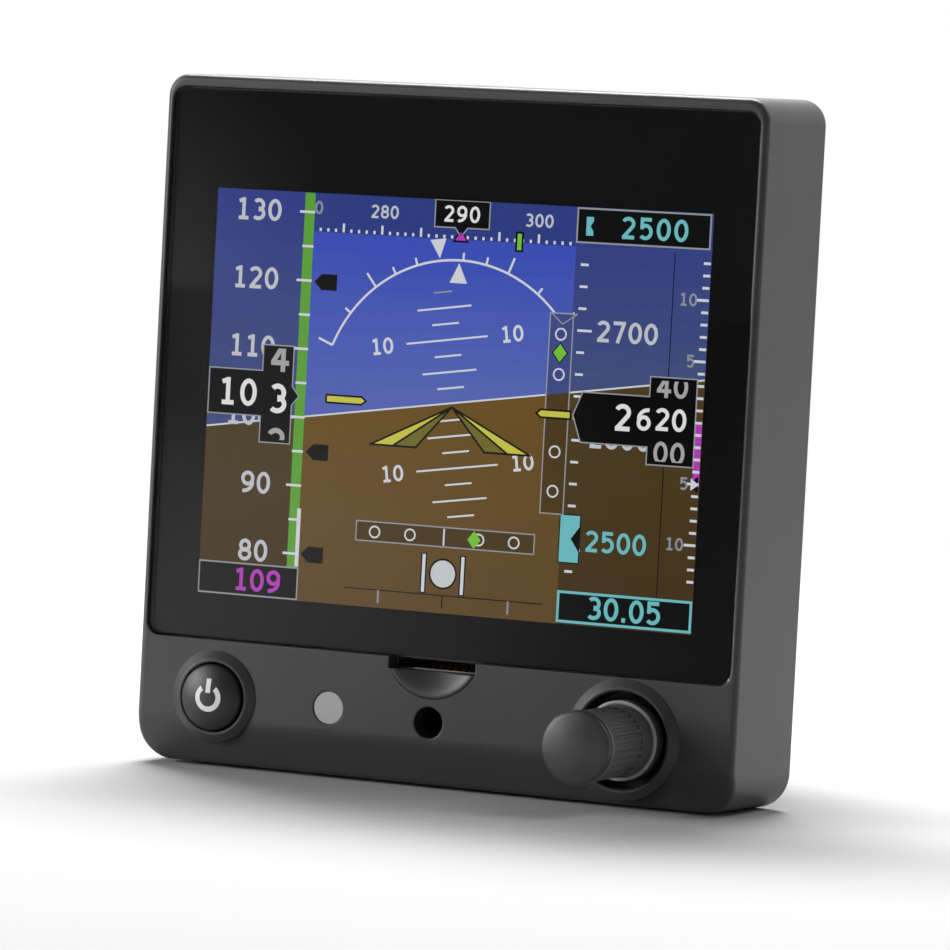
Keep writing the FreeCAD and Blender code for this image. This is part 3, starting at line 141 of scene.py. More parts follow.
def grained(name, colours, roughness, grain, height, patch=0.0, edge=0.0, **sockets):
    """A surface with an even grain of the size grain and the relief height, both in millimetres.

    colours are the darkest and the lightest tone. patch is the size of slow changes of tone, and
    edge is the radius that softens sharp corners, where they are given.
    """
    dark, light = colours
    made, tree, shader = material(name, dark, roughness[0], **sockets)
    where = add(tree, "ShaderNodeTexCoord").outputs["Object"]
    fine = noise(tree, where, grain, Detail=2.0, Roughness=0.6)
    bump = add(tree, "ShaderNodeBump", {"Strength": 1.0, "Distance": height * MM, "Height": fine})
    if edge:
        soft = add(tree, "ShaderNodeBevel", {"Radius": edge * MM}, samples=6)
        tree.links.new(soft.outputs["Normal"], bump.inputs["Normal"])
    tree.links.new(bump.outputs["Normal"], shader.inputs["Normal"])
    slow = noise(tree, where, patch, Detail=3.0) if patch else fine
    tones = {"Fac": slow, "Color1": linear(dark), "Color2": linear(light)}
    tone = add(tree, "ShaderNodeMixRGB", tones)
    tree.links.new(tone.outputs["Color"], shader.inputs["Base Color"])
    tree.links.new(ramp(tree, slow, 0.3, 0.7, *roughness), shader.inputs["Roughness"])
    return made


# spark-eroded moulded polycarbonate: black with a fine even grain that greys it at a glance
bezel_plastic = grained(
    "moulded_bezel_plastic", ("#333334", "#39393a"), (0.39, 0.43), 0.28, 0.012, 9.0, edge=0.35,
)
# silicone-painted key top: smoother and a little darker than the bezel
key_plastic = grained("painted_key_top", ("#1d1d1e", "#232324"), (0.36, 0.44), 0.2, 0.005)
# soft rubber of the knob's grip: matt, with a dusty bloom
knob_rubber = grained("rubber_knob_grip", ("#515153", "#606062"), (0.5, 0.62), 0.25, 0.008, 2.0)
# the knob's two beads are black rubber coloured pale grey: a painted highlight for the bright line
# they mirror
painted_highlight_bead = grained("pale_bead_painted_highlight", ("#9a9a9c", "#a6a6a8"), (0.24, 0.32), 0.3, 0.002, 3.0)
# moulded cap of the knob: satin
cap_plastic = grained("satin_knob_cap", ("#343435", "#3c3c3e"), (0.34, 0.42), 0.3, 0.004, 4.0)
# frosted light guide over the photocell: pale grey, lets a little light in
light_guide = grained(
    "frosted_light_guide", ("#acacad", "#bababb"), (0.3, 0.4), 0.2, 0.003, Subsurface_Weight=0.2,
)
light_guide.node_tree.nodes["Principled BSDF"].inputs["Subsurface Radius"].default_value = (MM, MM, MM)
# black nylon and glass-filled plastics inside and behind
black_plastic = grained("glass_filled_nylon", ("#17171a", "#202023"), (0.45, 0.6), 0.4, 0.01, 5.0)
# battery pack: moulded black ABS with a coarser texture
battery_plastic = grained("textured_abs", ("#1c1c1e", "#262628"), (0.52, 0.57), 0.5, 0.02, 8.0)
# cast aluminium under black powder coat: fine orange peel
housing_coat = grained("powder_coated_casting", ("#232426", "#2d2e30"), (0.46, 0.51), 0.7, 0.02, 12.0)
# foam and silicone seals: dead matt
seal_foam = grained("black_silicone_foam", ("#101011", "#19191a"), (0.8, 0.95), 0.3, 0.03)
# natural machined aluminium of the air ports, turned marks too fine to show are drawn as soft grain
port_metal = grained(
    "machined_aluminium", ("#a9acb0", "#bfc2c5"), (0.25, 0.4), 0.35, 0.003, 6.0, Metallic=1.0,
)
# zinc-plated steel of the connector shell and the jackscrews
plated_steel = grained(
    "zinc_plated_steel", ("#9a9a94", "#b4b3aa"), (0.22, 0.38), 0.5, 0.002, 4.0, Metallic=1.0,
)
# gold-plated contacts
gold_plate = grained(
    "gold_plated_contact", ("#c79a4b", "#d9b064"), (0.2, 0.32), 0.3, 0.001, 1.5, Metallic=1.0,
)
# black-oxide steel screws: dark with a faint oiled sheen
black_oxide = grained(
    "black_oxide_steel", ("#19191b", "#2a2a2c"), (0.35, 0.5), 0.3, 0.003, 1.0, Metallic=0.7,
)
# bright steel of the encoder shaft
bright_steel = grained(
    "ground_steel", ("#8f9092", "#a5a6a8"), (0.2, 0.32), 0.3, 0.001, 3.0, Metallic=1.0,
)
# circuit boards: green solder resist over glass cloth
solder_resist = grained("green_solder_resist", ("#0f3d22", "#17522f"), (0.3, 0.45), 1.2, 0.004, 6.0)
# stainless socket of the memory card
socket_steel = grained(
    "stamped_stainless", ("#8d8f92", "#a2a4a6"), (0.28, 0.4), 0.4, 0.002, 3.0, Metallic=1.0,
)
# nylon washer that keeps the mounting screw in place
nylon = grained("natural_nylon", ("#d8d4c6", "#e2dfd3"), (0.4, 0.5), 0.3, 0.004, 2.0)
# polyimide flat cable
flat_cable = grained("grey_flat_cable", ("#8b8d90", "#999b9e"), (0.45, 0.55), 0.4, 0.003, 3.0)
# silicone air hose
silicone = grained("clear_silicone_hose", ("#b9bcbd", "#c6c9ca"), (0.35, 0.5), 0.3, 0.003, 2.0)
# shrink wrap of the cells
cell_wrap = grained("blue_cell_wrap", ("#1d3c74", "#254a88"), (0.3, 0.42), 0.6, 0.004, 5.0)
# dark glass of the display cell, lit from behind only where the picture is
dark_cell = grained("unlit_display_cell", ("#060607", "#0a0a0b"), (0.2, 0.3), 0.3, 0.001, 8.0)

# toughened cover glass: clear, with the faintest smear that softens what it mirrors
SMEAR_SIZE, SMEAR_ROUGHNESS = 14, (0.015, 0.03)
cover_glass, tree, shader = material(
    "clear_cover_glass", "#ffffff", 0.02, Transmission_Weight=1.0, IOR=1.5,
)
smear = noise(tree, add(tree, "ShaderNodeTexCoord").outputs["Object"], SMEAR_SIZE, Detail=3.0)
tree.links.new(ramp(tree, smear, 0.35, 0.65, *SMEAR_ROUGHNESS), shader.inputs["Roughness"])
# black ink printed on the back of the glass
black_ink = grained(
    "black_glass_ink", ("#050505", "#080808"), (0.6, 0.7), 0.3, 0.0005, 10.0, Specular_IOR_Level=0.1,
)
# pad-printed symbol on the key
symbol_paint = grained("pale_symbol_paint", ("#e2e3e5", "#ececee"), (0.4, 0.5), 0.2, 0.001)

FINISHES = {
    "bezel": bezel_plastic,
    "cover_glass": cover_glass,
    "glass_gasket": seal_foam,
    "display_panel": dark_cell,
    "display_backlight": port_metal,
    "power_key": key_plastic,
    "switch_plunger": nylon,
    "power_switch": black_plastic,
    "light_pipe": light_guide,
    "light_sensor": black_plastic,
    "card_socket": socket_steel,
    "card_contacts": gold_plate,
    "card_board": solder_resist,
    "captive_screw": black_oxide,
    "screw_retainer": nylon,
    "knob": knob_rubber,
    "knob_cap": cap_plastic,
    "encoder_shaft": bright_steel,
    "knob_plunger": nylon,
    "encoder": black_plastic,
    "encoder_washer": black_oxide,
    "encoder_nut": black_oxide,
    "main_board": solder_resist,
    "board_screws": plated_steel,
    "ribbon_connectors": nylon,
    "ribbon_cable": flat_cable,
    "sensor_board": solder_resist,
    "pressure_sensors": black_plastic,
    "sensor_hoses": silicone,
    "rear_housing": housing_coat,
    "rear_seal": seal_foam,
    "housing_screws": black_oxide,
    "pitot_port": port_metal,
    "static_port": port_metal,
    "antenna_jack": gold_plate,
    "plug_shell": plated_steel,
    "plug_insulator": black_plastic,
    "plug_pins": gold_plate,
    "jack_screws": plated_steel,
    "battery_case": battery_plastic,
    "battery_cells": cell_wrap,
    "battery_cover": battery_plastic,
    "battery_screws": black_oxide,
}
for node, finish in FINISHES.items():
    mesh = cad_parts[node].data
    mesh.materials.clear()
    mesh.materials.append(finish)


# ------------------------------------------------------------------ pieces
def piece(name, bm, finish, body="case", smooth=None, stands_for=()):
    """Turns a shape in millimetres into a piece that rides on body."""
    bmesh.ops.scale(bm, vec=(MM,) * 3, verts=bm.verts)
    mesh = bpy.data.meshes.new(name)
    bm.to_mesh(mesh)
    bm.free()
    if smooth is not None:
        mesh.shade_smooth()
        mesh.set_sharp_from_angle(angle=math.radians(smooth))
    mesh.materials.append(finish)
    made = bpy.data.objects.new(name, mesh)
    bpy.context.scene.collection.objects.link(made)
    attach(made, body)
    if stands_for:
        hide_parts(*stands_for)
    return made


# ------------------------------------------------------------------ the lit picture
# A picture is built of thin plates in the gap between the display cell and the cover glass.
# Across and up are measured from the middle of the picture, in millimetres. Each plate lies in a
# layer, counted forward from the display cell, so that a mark never meets what is behind it.
PICTURE = (70.6, 53.3)
PICTURE_MIDDLE = (0.29, 3.83)
PLATE = 0.004
CELL_GAP, LAYER_STEP = 0.003, 0.006
CELL_FRONT = place_of("display_panel")[0].y


def layer_middle(layer):
    """The depth of a layer's middle."""
    return CELL_FRONT - CELL_GAP - PLATE / 2 - layer * LAYER_STEP


def thicken(bm, faces, by):
    """Turns faces into plates: by is how far they reach backwards."""
    raised = bmesh.ops.extrude_face_region(bm, geom=faces)["geom"]
    moved = [item for item in raised if isinstance(item, bmesh.types.BMVert)]
    bmesh.ops.translate(bm, verts=moved, vec=(0, by, 0))


# figures are drawn with a broad stroke, each in a cell one high, about the cell's middle
FIGURE_PITCH = 0.8
STROKE = 0.17
OVAL_STEP = 15


def oval(across, up, wide, tall, start, stop):
    """Stations along an oval: across, up, and the way out of it. Wide and tall are half sizes."""
    steps = max(2, round(abs(stop - start) / OVAL_STEP))
    for step in range(steps + 1):
        angle = math.radians(start + (stop - start) * step / steps)
        way = Vector((math.cos(angle) / wide, math.sin(angle) / tall)).normalized()
        yield across + wide * math.cos(angle), up + tall * math.sin(angle), way


def straight(across, up, next_across, next_up):
    """The two stations of a straight stroke."""
    way = Vector((up - next_up, next_across - across)).normalized()
    return [(across, up, way), (next_across, next_up, way)]


def figure(strokes):
    """The mesh of a figure, one thick: a small face is pushed along the stations of each stroke."""
    bm = bmesh.new()
    for stations in strokes:
        face = first = None
        for across, up, way in stations:
            corners = [
                Vector((across + side * way.x * STROKE / 2, deep, up + side * way.y * STROKE / 2))
                for side, deep in ((-1, 0.5), (1, 0.5), (1, -0.5), (-1, -0.5))
            ]
            if face is None:
                face = first = bm.faces.new([bm.verts.new(corner) for corner in corners])
            else:
                raised = bmesh.ops.extrude_face_region(bm, geom=[face])["geom"]
                face = next(item for item in raised if isinstance(item, bmesh.types.BMFace))
                for vert in face.verts:
                    nearest = min(range(4), key=lambda index: (vert.co - before[index]).length)
                    vert.co = corners[nearest]
            before = corners
        if (first.calc_center_median() - face.calc_center_median()).length < MERGE:
            bmesh.ops.delete(bm, geom=[first, face], context="FACES_ONLY")
    bmesh.ops.remove_doubles(bm, verts=bm.verts, dist=MERGE)
    bmesh.ops.recalc_face_normals(bm, faces=bm.faces)
    mesh = bpy.data.meshes.new("figure")
    bm.to_mesh(mesh)
    bm.free()
    return mesh


SIX = (oval(0, -0.16, 0.25, 0.255, 0, 360), oval(0.2, 0, 0.45, 0.415, 180, 84))
NINE = (oval(0, 0.16, 0.25, 0.255, 0, 360), oval(-0.2, 0, 0.45, 0.415, 0, -96))
FIGURES = {
    sign: figure(strokes)
    for sign, strokes in {
        "0": (oval(0, 0, 0.255, 0.415, 0, 360),),
        "1": (
            straight(0.02, -0.5, 0.02, 0.5), straight(-0.22, 0.33, 0.02, 0.42),
            straight(-0.22, -0.415, 0.27, -0.415),
        ),
        "2": (
            oval(-0.02, 0.19, 0.25, 0.225, 155, -38), straight(0.2, 0.08, -0.22, -0.4),
            straight(-0.3, -0.415, 0.29, -0.415),
        ),
        "3": (oval(-0.03, 0.195, 0.235, 0.22, 140, -90), oval(-0.03, -0.19, 0.265, 0.225, 90, -140)),
        "4": (
            straight(0.12, -0.5, 0.12, 0.5), straight(0.12, 0.43, -0.26, -0.19),
            straight(-0.33, -0.2, 0.34, -0.2),
        ),
        "5": (
            straight(0.25, 0.415, -0.28, 0.415), straight(-0.2, 0.45, -0.2, -0.02),
            oval(-0.03, -0.135, 0.27, 0.28, 128, -140),
        ),
        "6": SIX,
        "7": (straight(-0.31, 0.415, 0.31, 0.415), straight(0.235, 0.44, -0.08, -0.5)),
        "8": (oval(0, 0.2, 0.215, 0.215, 0, 360), oval(0, -0.195, 0.25, 0.22, 0, 360)),
        "9": NINE,
        ".": (straight(0, -0.5, 0, -0.31),),
    }.items()
}


class Plates:
    """Thin shapes of one colour: bars, outlines, discs, rings, arcs and numbers."""

    def __init__(self):
        self.bm = bmesh.new()

    def spot(self, across, up, layer, turn=0.0):
        """The place of a shape: turn is in degrees, anticlockwise as the pilot sees it."""
        middle = Vector((PICTURE_MIDDLE[0] + across, layer_middle(layer), PICTURE_MIDDLE[1] + up))
        return Matrix.Translation(middle) @ Matrix.Rotation(math.radians(-turn), 4, "Y")

    def bar(self, across, up, wide, tall, layer, turn=0.0):
        """A bar about its middle."""
        size = Matrix.Diagonal((wide, PLATE, tall, 1.0))
        bmesh.ops.create_cube(self.bm, size=1.0, matrix=self.spot(across, up, layer, turn) @ size)

    def frame(self, across, up, wide, tall, line, layer):
        """A rectangle drawn with a line."""
        for side in (-1, 1):
            self.bar(across, up + side * (tall - line) / 2, wide, line, layer)
            self.bar(across + side * (wide - line) / 2, up, line, tall - 2 * line, layer)

    def shape(self, corners, layer, turn=0.0, across=0.0, up=0.0):
        """A plate with the corners given in order."""
        spot = self.spot(across, up, layer, turn)
        verts = [self.bm.verts.new(spot @ Vector((x, PLATE / 2, z))) for x, z in corners]
        thicken(self.bm, [self.bm.faces.new(verts)], -PLATE)

    def disc(self, across, up, radius, layer, sides=32):
        """A round plate."""
        lie = Matrix.Rotation(math.radians(90), 4, "X")
        bmesh.ops.create_cone(
            self.bm, cap_ends=True, segments=sides, radius1=radius, radius2=radius, depth=PLATE,
            matrix=self.spot(across, up, layer) @ lie,
        )

    def arc(self, across, up, radius, line, start, stop, layer, steps=48):
        """A line along a circle, between two angles in degrees anticlockwise from the right."""
        spot = self.spot(across, up, layer, start)
        half = line / 2
        corners = ((-half, 1), (half, 1), (half, -1), (-half, -1))
        verts = [self.bm.verts.new(spot @ Vector((radius + x, y * PLATE / 2, 0))) for x, y in corners]
        face = self.bm.faces.new(verts)
        middle = spot.to_translation()
        full = abs(stop - start) >= 360
        bmesh.ops.spin(
            self.bm, geom=[*verts, *face.edges, face], cent=middle, axis=(0, -1, 0),
            angle=math.radians(stop - start), steps=steps, use_merge=full,
        )
        if full and face.is_valid:
            bmesh.ops.delete(self.bm, geom=[face], context="FACES_ONLY")

    def edges(self, corners, line, layer, across=0.0, up=0.0):
        """A line of the width line along the edges of a closed outline."""
        for (x, z), (next_x, next_z) in zip(corners, corners[1:] + corners[:1]):
            reach = Vector((next_x - x, next_z - z))
            turn = math.degrees(math.atan2(reach.y, reach.x))
            middle = (across + (x + next_x) / 2, up + (z + next_z) / 2)
            self.bar(*middle, reach.length + line, line, layer, turn)

    def number(self, text, across, up, tall, layer, turn=0.0, clip=None, pitch=FIGURE_PITCH):
        """Figures of the height tall; clip gives the lowest and highest place that shows."""
        widths = [pitch * (0.5 if sign == "." else 1.0) for sign in text]
        place = -sum(widths) / 2
        for sign, width in zip(text, widths):
            shift = Matrix.Translation((place + width / 2, 0, 0))
            cell = Matrix.Diagonal((tall, PLATE, tall, 1.0)) @ shift
            place += width
            part = bmesh.new()
            part.from_mesh(FIGURES[sign])
            part.transform(self.spot(across, up, layer, turn) @ cell)
            for level, out in ((clip[0], -1), (clip[1], 1)) if clip else ():
                cut = bmesh.ops.bisect_plane(
                    part, geom=[*part.verts, *part.edges, *part.faces], dist=MERGE,
                    plane_co=(0, 0, PICTURE_MIDDLE[1] + level), plane_no=(0, 0, out), clear_outer=True,
                )
                rim = [item for item in cut["geom_cut"] if isinstance(item, bmesh.types.BMEdge)]
                rim = [edge for edge in rim if edge.is_valid and edge.is_boundary]
                bmesh.ops.holes_fill(part, edges=rim, sides=0)
            whole = bpy.data.meshes.new("part")
            part.to_mesh(whole)
            part.free()
            self.bm.from_mesh(whole)
            bpy.data.meshes.remove(whole)

    def make(self, name, colour, strength=1.0):
        """Ends the plates as a piece that glows with its colour."""
        glow, _, _ = material(
            f"lit_{name}", "#000000", 0.6, Specular_IOR_Level=0.0,
            Emission_Color=linear(colour), Emission_Strength=strength,
        )
        bmesh.ops.recalc_face_normals(self.bm, faces=self.bm.faces)
        return piece(f"picture_{name}", self.bm, glow)


# the aircraft rolls by ROLL degrees; three fields lie side by side under the heading strip
HALF_WIDE, HALF_TALL = PICTURE[0] / 2, PICTURE[1] / 2
TAPE_RIGHT, CENTRE_RIGHT, STRIP_LOW = -20.95, 16.5, 21.6
ROLL, HORIZON = 8.3, 0.5
SLOPE = math.tan(math.radians(ROLL))


def horizon_at(across):
    """How high the horizon is at a place across the picture."""
    return HORIZON + SLOPE * across


# sky and ground in bands of slowly changing tone, darker under the two tapes
SKY = ("#3a4db6", "#5565b2")
SKY_SHADED = ("#303c86", "#43507d")
GROUND = ("#6a4f20", "#5e4826")
GROUND_SHADED = ("#4d3f22", "#423117")
BANDS = 9
for label, left, right, high, low, tones in (
    ("sky_left", -HALF_WIDE, TAPE_RIGHT, HALF_TALL, None, SKY_SHADED),
    ("sky", TAPE_RIGHT, CENTRE_RIGHT, STRIP_LOW, None, SKY),
    ("sky_right", CENTRE_RIGHT, HALF_WIDE, HALF_TALL, None, SKY_SHADED),
    ("ground_left", -HALF_WIDE, TAPE_RIGHT, None, -HALF_TALL, GROUND_SHADED),
    ("ground", TAPE_RIGHT, CENTRE_RIGHT, None, -HALF_TALL, GROUND),
    ("ground_right", CENTRE_RIGHT, HALF_WIDE, None, -HALF_TALL, GROUND_SHADED),
):
    ends = (horizon_at(left), horizon_at(right))
    for band in range(BANDS):
        share, next_share = band / BANDS, (band + 1) / BANDS
        if low is None:
            tops = [high + (end - high) * share for end in ends]
            feet = [high + (end - high) * next_share for end in ends]
        else:
            tops = [end + (low - end) * share for end in ends]
            feet = [end + (low - end) * next_share for end in ends]
        plates = Plates()
        plates.shape([(left, feet[0]), (right, feet[1]), (right, tops[1]), (left, tops[0])], 0)
        plates.make(f"{label}_{band}", blend(*tones, (band + 0.5) / BANDS))

strip = Plates()
strip.bar(
    (TAPE_RIGHT + CENTRE_RIGHT) / 2, (HALF_TALL + STRIP_LOW) / 2,
    CENTRE_RIGHT - TAPE_RIGHT, HALF_TALL - STRIP_LOW, 0,
)
strip.make("heading_strip", "#2d3c82")

# white lines: horizon, pitch ladder, bank scale
HORIZON_LINE, LADDER_LINE, BANK_LINE, TICK_LINE = 0.22, 0.24, 0.3, 0.32
HORIZON_INSET = 0.998
white = Plates()
horizon_long = PICTURE[0] / math.cos(math.radians(ROLL)) * HORIZON_INSET
white.bar(0, HORIZON, horizon_long, HORIZON_LINE, 1, ROLL)
LADDER_MIDDLE = (0.2, 0.42)
PITCH_STEP = 2.07
LONG_RUNG, MIDDLE_RUNG, SHORT_RUNG = 11.6, 7.7, 3.8
RUNG_FIGURES, RUNG_FIGURES_TALL = 9.3, 2.15
for step in range(-7, 7):
    if step == 0:
        continue
    wide = LONG_RUNG if step % 4 == 0 else MIDDLE_RUNG if step % 2 == 0 else SHORT_RUNG
    lean = Matrix.Rotation(math.radians(ROLL), 2)
    offset = lean @ Vector((0, step * PITCH_STEP))
    across, up = LADDER_MIDDLE[0] + offset.x, LADDER_MIDDLE[1] + offset.y
    white.bar(across, up, wide, LADDER_LINE, 1, ROLL)
    if step % 4 == 0:
        for side in (-1, 1):
            away = lean @ Vector((side * RUNG_FIGURES, 0))
            white.number("10", across + away.x, up + away.y, RUNG_FIGURES_TALL, 1, ROLL)
BANK_RADIUS = 18.95
BANK_MIDDLE = (0.2, 0.0)
white.arc(*BANK_MIDDLE, BANK_RADIUS, BANK_LINE, 90 + ROLL - 60, 90 + ROLL + 60, 1)
for angle, long in ((10, 1.0), (20, 1.0), (30, 2.2), (45, 1.0), (60, 2.2)):
    for side in (-1, 1):
        turn = 90 + ROLL + side * angle
        out = BANK_RADIUS + long / 2
        lean = math.radians(turn)
        across, up = BANK_MIDDLE[0] + out * math.cos(lean), BANK_MIDDLE[1] + out * math.sin(lean)
        white.bar(across, up, long, BANK_LINE, 1, turn)
lean = math.radians(90 + ROLL)
# the roll triangle stands on the scale, and the fixed one hangs just under it
roll_mark = Vector(BANK_MIDDLE) + (BANK_RADIUS + 0.3) * Vector((math.cos(lean), math.sin(lean)))
white.shape([(0, 0), (1.15, 2.5), (-1.15, 2.5)], 2, ROLL, roll_mark.x, roll_mark.y)
white.shape([(0, 0), (-1.25, -2.6), (1.25, -2.6)], 2, 0, BANK_MIDDLE[0], BANK_RADIUS - 0.35)

# airspeed tape: ten knots to AIR_PITCH, the speed 103 at the middle
AIR_PITCH = 8.93
AIR_MIDDLE = 103
for knots in range(80, 131, 5):
    up = (knots - AIR_MIDDLE) / 10 * AIR_PITCH
    long = 2.2 if knots % 10 == 0 else 1.6
    white.bar(-20.9 - long / 2, up, long, TICK_LINE, 4)
white.bar(-21.0, -18.4, 0.55, 7.6, 4)

# altitude tape: a hundred feet to FEET_PITCH
FEET_PITCH = 14.0
FEET_MIDDLE = 2622
for feet in range(2480, 2780, 20):
    up = (feet - FEET_MIDDLE) / 100 * FEET_PITCH
    long = 2.0 if feet % 100 == 0 else 1.1
    white.bar(17.3 + long / 2, up, long, TICK_LINE, 2)

# vertical-speed scale
SPEED_PITCH = 1.55
for step in range(-13, 14):
    up = 0.2 + step * SPEED_PITCH
    long = 1.6 if step % 5 == 0 else 0.95
    white.bar(35.2 - long / 2, up, long, 0.34, 4)
white.shape([(0, 0), (1.1, 0.8), (1.1, -0.8)], 6, 180, 35.2, -7.6)

# heading scale
HEADING_PITCH = 1.115
for step in range(-18, 15):
    across = 0.1 + step * HEADING_PITCH
    tall = 1.15 if step % 5 == 0 else 0.42
    white.bar(across, STRIP_LOW + tall / 2 + 0.1, TICK_LINE, tall, 2)

# deviation scales and slip marks
RING_RADIUS, RING_LINE = 0.72, 0.22
low_rings = ((-9.9, -16.85), (-4.8, -16.85), (5.0, -16.8), (10.0, -16.8))
for across, up in (*low_rings, (15.05, 10.3), (15.05, 5.15), (15.05, -4.75), (15.05, -9.8)):
    white.arc(across, up, RING_RADIUS, RING_LINE, 0, 360, 3, 24)
white.bar(0.06, -16.8, 0.24, 2.2, 3)
for across in (-2.6, 2.95):
    white.bar(across, -21.6, 0.45, 4.9, 3)
white.make("white_marks", "#cfd2d9")

# the tapes' figures are a little less bright
AIR_TALL, FEET_TALL, HEADING_TALL = 2.9, 2.75, 1.75
tape = Plates()
for knots, across in ((130, -29.1), (120, -29.1), (110, -29.1), (90, -27.6), (80, -27.5)):
    tape.number(str(knots), across, (knots - AIR_MIDDLE) / 10 * AIR_PITCH, AIR_TALL, 3)
tape.number("100", -29.1, -2.75, AIR_TALL, 2)
tape.number("2700", 24.25, 11.0, FEET_TALL, 2)
tape.number("2600", 24.0, -2.55, FEET_TALL, 2)
tape.number("280", -10.8, 24.65, HEADING_TALL, 2)
tape.number("300", 11.2, 24.6, HEADING_TALL, 2)
tape.make("tape_figures", "#bfc1c8")

faint = Plates()
for mark, across in ((10, 32.4), (5, 33.15), (-5, 33.15), (-10, 32.3)):
    faint.number(str(abs(mark)), across, 0.2 + mark * SPEED_PITCH, 1.65, 2)
faint.number("0", -20.35, 24.75, HEADING_TALL, 2)
steepest = Matrix.Rotation(math.radians(ROLL), 2) @ Vector((0, 7 * PITCH_STEP))
faint.bar(LADDER_MIDDLE[0] + steepest.x, LADDER_MIDDLE[1] + steepest.y, 2.6, 0.22, 1, ROLL)
for across in (-8.95, 9.6):
    faint.bar(across, -25.2, 0.26, 1.7, 1)
faint.make("faint_marks", "#8d8f9a")

ball = Plates()
ball.disc(0.19, -21.55, 1.75, 4)
ball.make("slip_ball", "#c6c8ca")

# bold white figures in the black readouts
AIR_WINDOW, AIR_DIGIT = (-5.85, 6.1), 3.9
FEET_WINDOW, FEET_DIGIT = (-5.0, 5.25), 2.9
readout = Plates()
readout.number("10", -30.85, 0.1, 3.6, 6, pitch=0.86)
readout.number("290", 0.25, 24.9, 2.15, 6, pitch=0.85)
readout.number("2", 24.3, 0.25, 3.45, 6)
readout.number("6", 27.2, 0.2, FEET_DIGIT, 6)
readout.number("3", -24.9, -0.45, AIR_DIGIT, 6)
readout.number("20", 30.9, 0.35, FEET_DIGIT, 6)
readout.make("readout_figures", "#dedfe0")
rolling = Plates()
for digit, up in (("4", 5.0), ("2", -6.25)):
    rolling.number(digit, -24.9, up, AIR_DIGIT, 6, clip=AIR_WINDOW)
for digits, up in (("40", 4.55), ("00", -3.9)):
    rolling.number(digits, 30.9, up, FEET_DIGIT, 6, clip=FEET_WINDOW)
rolling.make("rolling_figures", "#a2a3a5")

# black readout windows with their pointers, and their thin pale rims
AIR_READOUT = [
    (-35.1, 3.0), (-35.1, -2.8), (-27.3, -2.8), (-27.3, -6.2), (-23.0, -6.2), (-23.0, -1.2),
    (-22.0, 0), (-23.0, 1.2), (-23.0, 6.4), (-27.3, 6.4), (-27.3, 3.0),
]
FEET_READOUT = [
    (18.6, 3.05), (17.4, 0.15), (18.6, -3.2), (27.9, -3.2), (27.9, -5.4), (34.2, -5.4),
    (34.2, 5.6), (27.9, 5.6), (27.9, 3.05),
]
TURN_READOUT = [
    (-3.5, 26.55), (-3.5, 23.2), (-0.6, 23.2), (0.25, 22.1), (1.1, 23.2), (4.1, 23.2), (4.1, 26.55),
]
black = Plates()
grey = Plates()
for outline in (AIR_READOUT, FEET_READOUT, TURN_READOUT):
    black.shape(outline, 5)
    grey.edges(outline, 0.34, 4)
ALTITUDE_BOX = (25.75, 24.33, 18.6, 4.55)
PRESSURE_BOX = (25.85, -24.4, 18.75, 4.1)
SPEED_BOX = (-28.0, -24.45, 14.7, 4.3)
for across, up, wide, tall in (ALTITUDE_BOX, PRESSURE_BOX, SPEED_BOX):
    black.bar(across, up, wide - 0.1, tall - 0.1, 4)
for up in (15.1, -7.1, -20.5):
    black.bar(-18.3, up, 2.2, 2.1, 4)
    black.shape([(-1.1, 0), (0, 1.05), (0, -1.05)], 4, 0, -19.4, up)
for corners, across, up in (
    ([(0, 1.35), (-1.15, 0), (0, -1.35), (1.15, 0)], 15.05, 7.9),
    ([(0, 1.1), (-1.2, -0.75), (1.2, -0.75)], 0.25, 22.0),
    ([(0.2, 1.1), (-1.15, 0), (0.2, -1.1)][::-1], 34.9, -7.6),
):
    black.shape(corners, 4, 0, across, up)
black.bar(8.55, 21.75, 1.15, 2.6, 3)
black.bar(17.75, -15.7, 3.0, 6.3, 3)
for across in (-2.6, 2.95):
    black.bar(across, -21.6, 0.85, 5.2, 2)
black.disc(0.19, -21.55, 2.0, 3)
black.bar(0.3, -24.35, 28.4, 0.14, 1)
black.bar(0.25, -25.15, 0.16, 1.6, 1)
black.bar(30.25, 13.5, 0.12, 16.0, 1)
black.bar(30.25, -14.0, 0.12, 16.5, 1)
black.make("readout_windows", "#070808")

grey.frame(*ALTITUDE_BOX, 0.22, 5)
grey.frame(*SPEED_BOX, 0.2, 5)
grey.frame(0.15, -16.8, 25.6, 2.7, 0.17, 3)
grey.frame(15.05, 0.15, 3.4, 25.8, 0.17, 3)
grey.edges([(13.6, 12.95), (15.2, 11.6), (17.2, 12.95)], 0.15, 2)
grey.make("grey_outlines", "#92959a")

# darker fields under the two deviation scales
FIELD_LEFT, FIELD_RIGHT, FIELD_HIGH, FIELD_LOW = 13.45, 16.65, 12.95, -12.65
field_ends = [(across, horizon_at(across)) for across in (FIELD_LEFT, FIELD_RIGHT)]
for label, corners, tone in (
    ("low", [(-12.55, -18.05), (12.85, -18.05), (12.85, -15.55), (-12.55, -15.55)], "#4a391c"),
    ("sky", [*field_ends, (FIELD_RIGHT, FIELD_HIGH), (FIELD_LEFT, FIELD_HIGH)], "#3f4a86"),
    ("ground", [(FIELD_LEFT, FIELD_LOW), (FIELD_RIGHT, FIELD_LOW), *field_ends[::-1]], "#4c3a1a"),
):
    field = Plates()
    field.shape(corners, 2)
    field.make(f"deviation_field_{label}", tone)

DIAMOND = [(0, 1.15), (-0.95, 0), (0, -1.15), (0.95, 0)]
green = Plates()
green.shape(DIAMOND, 5, 0, 15.05, 7.9)
green.shape(DIAMOND, 4, 0, 4.35, -16.85)
green.bar(8.55, 21.75, 0.6, 2.1, 4)
green.make("green_marks", "#74bf3a")
band = Plates()
band.bar(-21.68, 2.1, 1.45, 49.0, 3)
band.make("green_band", "#5c9f38")

